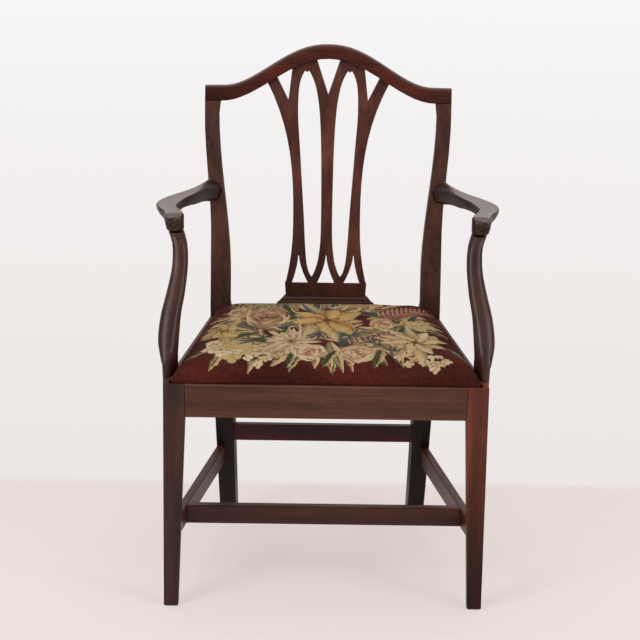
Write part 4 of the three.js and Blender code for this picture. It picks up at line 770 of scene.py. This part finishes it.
class Canvas:
    """The stitches' colours, painted one motif over another. Places are in metres on the cloth."""

    def __init__(self, x, t, half, depth, seed):
        self.x, self.t, self.half, self.depth = x, t, half, depth
        self.random = np.random.default_rng(seed)
        self.speckle = self.random.random(x.shape)
        self.colour = np.empty((*x.shape, 3))

    def at(self, across, back):
        return across * self.half, back * self.depth

    def fill(self, mask, yarn):
        self.colour[mask] = YARNS[yarn]

    def local(self, place, angle):
        """Distances along and across a direction from a place. Away from the front edge motifs are
        longer from front to back, to look round to someone who stands before the chair."""
        stretch = 1 + 0.55 * float(smooth(place[1] / self.depth, 0.08, 0.5))
        dx, dt = self.x - place[0], (self.t - place[1]) / stretch
        c, s = cos(angle), sin(angle)
        return dx * c + dt * s, dt * c - dx * s

    def band(self, mask, value, yarns):
        """Yarns in turn as a value from 0 to 1 grows, with ragged borders between them."""
        level = np.clip(value + 0.30 * (self.speckle - 0.5), 0, 0.999) * len(yarns)
        for i, yarn in enumerate(yarns):
            self.fill(mask & (level.astype(int) == i), yarn)

    def leaf(self, place, angle, length, width, yarns, bend=0.0, vein="umber", teeth=0):
        """A pointed leaf: yarns from its lower side to its upper side, and a dark vein."""
        along, across = self.local(place, angle)
        share = along / length
        inside = np.clip(share, 0, 1)
        across = across - bend * length * inside ** 2
        half = width / 2 * np.sin(pi * inside ** 0.8) ** 0.8
        if teeth:
            half = half * (1 - 0.3 * np.abs(np.sin(teeth * pi * inside)))
        mask = (share > 0) & (share < 1) & (np.abs(across) < half)
        self.band(mask, (across / np.maximum(half, 1e-6) + 1) / 2, yarns)
        self.fill(mask & (np.abs(across) < STITCH * 0.55) & (share < 0.8), vein)

    def petal(self, place, angle, length, width, yarns, vein):
        """A petal: yarns from its shaded edges and root to its ridge and tip."""
        along, across = self.local(place, angle)
        share = along / length
        inside = np.clip(share, 0, 1)
        half = width / 2 * np.sin(pi * np.minimum(inside ** 0.72, 1)) ** 0.75
        half = half * (1 + 0.12 * np.sin(11 * inside + 5 * angle))
        mask = (share > 0) & (share < 1) & (np.abs(across) < half)
        side = across / np.maximum(half, 1e-6)
        self.band(mask, 0.42 + 0.5 * share - 0.5 * np.abs(side + 0.25) ** 1.5, yarns)
        broken = self.speckle < 0.5
        self.fill(mask & (np.abs(side - 0.35) < 0.1) & (share < 0.5) & broken, vein)
        self.fill(mask & (side < -0.8) & broken, vein)

    def whorl(self, place, count, length, width, yarns, vein, turn=0.0):
        for k in range(count):
            grow = 1 + 0.2 * sin(2.3 * k + 7 * turn)
            angle = turn + (k + 0.16 * sin(3.1 * k + 5 * turn)) * 2 * pi / count
            broad = width * (1 + 0.22 * sin(1.7 * k + 3 * turn))
            self.petal(place, angle, length * grow, broad, yarns, vein)

    def lily(self, place, count, length, width, yarns, pale, vein, turn=0.0):
        """Two whorls of pointed petals about a dark throat with its stamens."""
        self.whorl(place, count, length, width, pale, vein, turn + pi / count)
        self.whorl(place, count, length * 0.8, width * 0.9, yarns, vein, turn)
        for k in range(count):
            angle = turn + (k + 0.25) * 2 * pi / count
            tip = toward(place, angle, length * 0.26)
            self.stem([place, place, tip], STAMEN_WIDTH, [vein])
            self.disc(tip, STITCH * 1.2, "brown")
        self.disc(place, length * 0.09, vein)

    def dahlia(self, place, radius, yarns, vein, turn=0.0):
        """Rounds of narrow petals, shorter toward the heart."""
        for ring, (count, share) in enumerate([(15, 1.0), (12, 0.76), (9, 0.52)]):
            self.whorl(place, count, radius * share, radius * 0.3, yarns, vein, turn + 0.2 * ring)
        self.disc(place, radius * 0.16, "tan")
        self.disc(place, radius * 0.08, vein)

    def disc(self, place, radius, yarn):
        along, across = self.local(place, 0.0)
        self.fill(along ** 2 + across ** 2 < radius ** 2, yarn)

    def rose(self, place, radius, yarns, shade, turn=0.0):
        """Overlapping rounds of petals about a heart."""
        along, across = self.local(place, turn)
        angle = np.arctan2(across, along)
        reach = np.hypot(along, across) / radius
        outline = 1 + 0.1 * np.abs(np.cos(2.5 * angle)) - 0.05
        mask = reach < outline
        fold = np.sin(angle * 2.5 + 5.5 * reach + 1.2 * np.sin(9 * reach))
        self.band(mask, 0.5 * reach + 0.25 + 0.3 * fold, yarns)
        for level, lobes in ((0.34, 3), (0.66, 4), (0.95, 5)):
            rim = level + 0.07 * np.cos(lobes * angle + 4 * level)
            on_rim = (np.abs(reach - rim) * radius < STITCH * 0.5) & (np.sin(lobes * angle) > -0.6)
            self.fill(mask & on_rim, shade)
        self.disc(place, radius * 0.1, shade)

    def blossom(self, place, radius, yarn, shade, turn=0.0, count=5):
        """A small open flower of round petals."""
        for k in range(count):
            angle = turn + k * 2 * pi / count
            petal = toward(place, angle, radius * 0.55)
            self.disc(petal, radius * 0.5, shade)
            self.disc(petal, radius * 0.43, yarn)
        self.disc(place, radius * 0.2, "gold")

    def cluster(self, place, radius, yarns, shade, count):
        """A round head of small blossoms."""
        for k in range(count):
            angle = GOLDEN_ANGLE * k
            spot = toward(place, angle, radius * sqrt((count - k) / count))
            self.blossom(spot, radius * 0.42, yarns[k % len(yarns)], shade, angle, 4)

    def stem(self, points, width, yarns):
        """A tapering stroke on a smooth curve through three points."""
        a, b, c = [np.array(p) for p in points]
        for s in np.linspace(0, 1, STROKE_STEPS):
            place = (1 - s) ** 2 * a + 2 * s * (1 - s) * b + s * s * c
            yarn = yarns[min(len(yarns) - 1, int(s * len(yarns)))]
            self.disc(place, width / 2 * (1 - 0.6 * s), yarn)

    def plume(self, start, end, count, length, yarns):
        """Short leaflets in pairs along a line."""
        start, end = np.array(start), np.array(end)
        heading = atan2(*(end - start)[::-1])
        for k in range(count):
            place = start + (end - start) * k / (count - 1)
            grow = length * (1 - 0.5 * k / count)
            for side in (1, -1):
                self.leaf(place, heading + side * 0.95, grow, grow * 0.36, yarns, 0.1 * side, yarns[0])


def lay_ground(c):
    """Maroon wool of uneven dye."""
    broad = np.sin(c.x * 21 + 1.7 * np.sin(c.t * 13)) + np.sin(c.t * 31 + 2.1 * np.sin(c.x * 17))
    c.band(np.full(c.x.shape, True), 0.5 + broad * 0.16 + (c.speckle - 0.5) * 0.5,
           ["ground_dark", "ground", "ground", "ground_red"])


def lay_leaves(c):
    """Leaves that fan out all round to a ragged border, then those between the flowers."""
    draw = c.random.random

    def drawn(low, high):
        return (low + (high - low) * draw()) * MM

    for k in range(OUTER_LEAVES):
        angle = 2 * pi * (k + 0.5 * draw()) / OUTER_LEAVES
        outer = 0.93 + 0.13 * draw() + 0.05 * sin(3 * angle)
        across = 0.80 - 0.17 * sin(angle)
        root = np.array(c.at(0.4 * cos(angle), 0.50 + 0.26 * sin(angle)))
        tip = np.array(c.at(outer * across * cos(angle), 0.51 + outer * 0.46 * sin(angle)))
        length = float(np.hypot(*(tip - root))) / (1 + 0.3 * abs(sin(angle)))
        width = drawn(*OUTER_WIDTHS)
        kind = OUTER_KINDS[k % len(OUTER_KINDS)]
        c.leaf(root, atan2(*(tip - root)[::-1]), length, width, LEAVES[kind],
               0.14 * (draw() - 0.5), "umber", 5 * (k % 3 == 1))
    for k in range(SCATTERED_LEAVES):
        angle, reach = GOLDEN_ANGLE * k, sqrt((k + 0.5) / SCATTERED_LEAVES)
        root = c.at(0.60 * reach * cos(angle), 0.52 + 0.30 * reach * sin(angle))
        kind = SCATTERED_KINDS[k % len(SCATTERED_KINDS)]
        c.leaf(root, 2 * pi * draw(), drawn(*SCATTERED_LENGTHS), drawn(*SCATTERED_WIDTHS),
               LEAVES[kind], 0.1)
    for rows, bend, teeth in ((INNER_LEAVES, 0.1, 0), (HANGING_LEAVES, -0.1, 3)):
        for across, back, heading, length, width, kind in rows:
            c.leaf(c.at(across, back), radians(heading), length * MM, width * MM, LEAVES[kind],
                   bend, "umber", teeth)


def lay_flowers(c):
    for start, tip, pairs, length, yarns in PLUMES:
        c.plume(c.at(*start), c.at(*tip), pairs, length * MM, yarns)
    for root, bend, tip, yarns in STEMS:
        c.stem([c.at(*root), c.at(*bend), c.at(*tip)], STEM_WIDTH, yarns)
    for across, back, radius, yarns, shade, count in CLUSTERS:
        c.cluster(c.at(across, back), radius * MM, yarns, shade, count)
    for across, back, radius, yarns, shade in ROSES:
        c.rose(c.at(across, back), radius * MM, yarns, shade, 3 * across)
    across, back, radius, yarns, vein, turn = DAHLIA
    c.dahlia(c.at(across, back), radius * MM, yarns, vein, turn)
    for across, back, petals, length, width, yarns, below, vein, turn in LILIES:
        c.lily(c.at(across, back), petals, length * MM, width * MM, yarns, below, vein, turn)
    for across, back, heading in SPRIGS:
        for k in range(SPRIG_LEAVES):
            angle = radians(heading + SPRIG_SPREAD * (k - (SPRIG_LEAVES - 1) / 2))
            c.leaf(c.at(across, back), angle, SPRIG_LENGTH, SPRIG_WIDTH, LEAVES["cool"])


def embroider(x, t, half, depth):
    """Colours of the stitches at places on the cloth: a traditional bouquet on a maroon ground."""
    c = Canvas(x, t, half, depth, seed=11)
    lay_ground(c)
    lay_leaves(c)
    lay_flowers(c)
    fade = 1 + 0.2 * (c.random.random(x.shape) - 0.5)
    return c.colour * fade[..., None]


def lumps(x, y):
    """The stuffing's unevenness, from about -1 to 1."""
    return (np.sin(41 * x + 1.3) * np.sin(37 * y + 0.4) + 0.7 * np.sin(83 * x + 2.0 * np.sin(29 * y))
            + 0.5 * np.sin(67 * y - 31 * x)) / 2.2


def make_needlework():
    points, cloth, row_params, column_params = seat_top(STITCH)
    rows, columns = points.shape[:2]
    moved, coarse_rows, coarse_columns = swell()
    points += between(moved, coarse_rows, coarse_columns, row_params, column_params)
    inside = smooth(points[..., 2], COVER_EDGE, COVER_EDGE + CROWN)
    points[..., 2] += LUMP * lumps(points[..., 0], points[..., 1]) * inside

    # Below the top: the skirt, its turned-up inside and the flat underside
    border = ring_of(rows, columns)
    edge = points.reshape(-1, 3)[border]
    middle = np.array([0.0, FRONT_PLANE + SEAT_DEPTH / 2])
    count = len(border)
    outward = edge[:, :2] - middle
    outward /= np.linalg.norm(outward, axis=1, keepdims=True)
    inner = edge[:, :2] - outward * 1.5 * COVER_THICKNESS
    rings = []

    def add_ring(plan, height):
        rings.append(np.column_stack([plan, np.broadcast_to(height, count)]))

    for k in range(1, SKIRT_STEPS + 1):
        add_ring(edge[:, :2], edge[:, 2] + (SKIRT_BOTTOM - edge[:, 2]) * k / SKIRT_STEPS)
    add_ring(inner, SKIRT_BOTTOM)
    add_ring(inner, UNDERSIDE)
    for share in UNDERSIDE_SHARES:
        add_ring(middle + (inner - middle) * share, UNDERSIDE)
    base = rows * columns
    hub = base + len(rings) * count
    loops = [border, *np.arange(base, hub).reshape(-1, count)]
    faces = [grid_faces(rows, columns), *(ring_faces(a, b) for a, b in zip(loops, loops[1:]))]
    fan = [(a, hub, b) for a, b in zip(loops[-1], np.roll(loops[-1], -1))]
    every = np.concatenate([points.reshape(-1, 3), *rings, [[*middle, UNDERSIDE]]])
    seat = new_mesh("needlework_seat", every, [*np.concatenate(faces), *fan], needlework_material())
    mesh = seat.data

    # One cell of the map and one yarn for each stitch
    around = np.arange(count, dtype=float)
    top_map = np.stack(np.meshgrid(np.arange(columns), np.arange(rows)), -1).reshape(-1, 2)
    ring_map = [np.stack([around, np.full(count, rows + k + 1.0)], -1) for k in range(len(rings))]
    set_map(mesh, "stitches", np.concatenate([top_map, *ring_map, [[0.0, 0.0]]]))
    centre = (cloth[:-1, :-1] + cloth[1:, 1:] + cloth[:-1, 1:] + cloth[1:, :-1]) / 4
    colours = embroider(centre[..., 0], centre[..., 1], SEAT_FRONT_HALF, cloth[-1, 0, 1])
    layer = mesh.color_attributes.new("yarn", "FLOAT_COLOR", "CORNER")
    values = np.tile((*YARNS["ground_dark"], 1.0), (len(mesh.loops), 1))
    top_corners = (rows - 1) * (columns - 1) * 4
    values[:top_corners, :3] = np.repeat(colours.reshape(-1, 3), 4, 0)
    layer.data.foreach_set("color", values.ravel())

    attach(seat, "drop_in_seat")
    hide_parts("seat_cover", "seat_stuffing")


make_needlework()


# Webs and canvas under the seat


def middle_of(node, axis):
    low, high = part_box(node)
    return (low[axis] + high[axis]) / 2


def make_strip(node, along_x, others):
    """A woven web on the route of its solid, with soft waves over and under the webs it crosses."""
    low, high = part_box(node)
    axis = 0 if along_x else 1
    start, end = low[axis], high[axis]
    centre, middle_z = middle_of(node, 1 - axis), middle_of(node, 2)
    swing = (high.z - low.z - WEB_THICKNESS) / 2
    places, levels = zip(*others)
    knots = [start, *places, end]
    heights = [-levels[0], *levels, -levels[-1]]
    points, maps = [], []
    for side in (1, -1):
        for s in np.linspace(start, end, WEB_STATIONS):
            k = min(len(places), int(np.searchsorted(knots, s, side="right")) - 1)
            t = (s - knots[k]) / (knots[k + 1] - knots[k])
            level = heights[k] + (heights[k + 1] - heights[k]) * float(smooth(t, 0.25, 0.75))
            for share in np.linspace(-1, 1, WEB_LINES):
                offset = share * WEB_WIDTH / 2
                half = WEB_THICKNESS / 2 * (1 - SELVEDGE_THINNING * abs(share) ** 6)
                z = middle_z + swing * level + side * half
                points.append((s, centre + offset, z) if along_x else (centre + offset, s, z))
                maps.append((s, offset))
    faces = slab_faces(WEB_STATIONS, WEB_LINES)[:, ::1 if along_x else -1]
    strip = new_mesh(node.replace("_web_", "_webbing_"), points, faces, jute_web)
    set_map(strip.data, "weave", maps)
    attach(strip, "drop_in_seat")
    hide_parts(node)


def make_canvas():
    """Jute canvas stretched flat over the webs, narrower at the back."""
    low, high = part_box("seat_canvas")
    front = half_width(CANVAS_FROM_END) - CANVAS_FROM_SIDE
    back = half_width(SEAT_DEPTH - CANVAS_FROM_END) - CANVAS_FROM_SIDE
    width, length = high.x - low.x, high.y - low.y
    points, maps = [], []
    for z in (high.z, low.z):
        for v in np.linspace(0, 1, CANVAS_LINES):
            for u in np.linspace(-1, 1, CANVAS_LINES):
                x, y = u * high.x * (1 + (back / front - 1) * v), low.y + length * v
                points.append((x, y, z))
                maps.append((x, y))
    canvas = new_mesh("stretched_canvas", points, slab_faces(CANVAS_LINES, CANVAS_LINES), jute_canvas)
    set_map(canvas.data, "weave", maps)
    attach(canvas, "drop_in_seat")
    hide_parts("seat_canvas")


jute_web = weave("jute_web", "#b39a6c", "#8f7449", WEB_THREAD)
jute_canvas = weave("jute_canvas", "#a98f66", "#84693f", CANVAS_THREAD)
lengthwise = [f"front_to_back_web_{i + 1}" for i in range(4)]
crosswise = [f"cross_web_{j + 1}" for j in range(3)]
for i, node in enumerate(lengthwise):
    make_strip(node, False, [(middle_of(other, 1), (-1) ** (i + j)) for j, other in enumerate(crosswise)])
for j, node in enumerate(crosswise):
    make_strip(node, True, [(middle_of(other, 0), -(-1) ** (i + j)) for i, other in enumerate(lengthwise)])
make_canvas()


# Camera


def make_camera():
    yaw, pitch, roll = CAMERA_YAW, CAMERA_PITCH, CAMERA_ROLL
    forward = Vector((sin(yaw) * cos(pitch), cos(yaw) * cos(pitch), sin(pitch)))
    right = Vector((cos(yaw), -sin(yaw), 0.0))
    up = right.cross(forward)
    side = right * cos(roll) + up * sin(roll)
    top = up * cos(roll) - right * sin(roll)
    data = bpy.data.cameras.new("camera")
    data.sensor_width = SENSOR_MM
    data.lens = LENS_MM
    data.clip_end = FARTHEST
    turned = Matrix((side, top, -forward)).transposed().to_4x4()
    scene.camera = new_object("camera", data)
    scene.camera.matrix_world = Matrix.Translation(CAMERA_PLACE) @ turned


make_camera()


# Room


def make_floor():
    """A pale floor that turns into the wall's tone behind the chair."""
    g = material_graph("pale_floor")
    y = g.part(g.node("NewGeometry").outputs["Position"], 1)
    wall = g.remap(y, WALL_FOOT - WALL_BLEND / 2, WALL_FOOT + WALL_BLEND / 2)
    tone = WALL_TONES[0][1]
    for (low, _), (high, code) in zip(WALL_TONES, WALL_TONES[1:]):
        tone = g.mix(g.remap(y, low, high, curve="LINEAR"), tone, code)
    ground = g.shaders(FLOOR_GLOW, g.node("BsdfDiffuse", {"Color": FLOOR_TONE}),
                       g.node("Emission", {"Color": FLOOR_TONE}))
    seen = g.node("LightPath").outputs["Is Camera Ray"]
    strength = g.remap(seen, 0.0, 1.0, WALL_REFLECTED, 1.0, "LINEAR")
    back = g.node("Emission", {"Color": tone, "Strength": strength})
    w = FLOOR_HALF_WIDTH
    floor = new_mesh("floor", [(-w, -w, 0), (w, -w, 0), (w, w, 0), (-w, w, 0)], [(0, 1, 2, 3)],
                     g.finish(g.shaders(wall, ground, back)))


def make_world():
    """Pale for the camera; for everything else a room that is bright at the back and dimmer in front."""
    world = bpy.data.worlds.new("room")
    g = Graph(world)
    y = g.part(g.node("TexCoord").outputs["Generated"], 1)
    strength = g.remap(y, *ROOM_SPAN, ROOM_FRONT, ROOM_BACK)
    room = g.node("Background", {"Color": ROOM_TONE, "Strength": strength})
    pale = g.node("Background", {"Color": WALL_TONES[-1][1]})
    seen = g.node("LightPath").outputs["Is Camera Ray"]
    scene.world = g.finish(g.shaders(seen, room, pale), "OutputWorld")


make_floor()
make_world()

for name, place, target, width, height, watts in AREA_LIGHTS:
    data = bpy.data.lights.new(name, "AREA")
    data.shape = "RECTANGLE"
    data.size, data.size_y = width, height
    data.energy = watts
    lamp = new_object(name, data)
    lamp.location = place
    lamp.rotation_mode = "QUATERNION"
    lamp.rotation_quaternion = (Vector(target) - Vector(place)).to_track_quat("-Z", "Y")
    lamp.visible_camera = False

scene.view_settings.view_transform = "Standard"
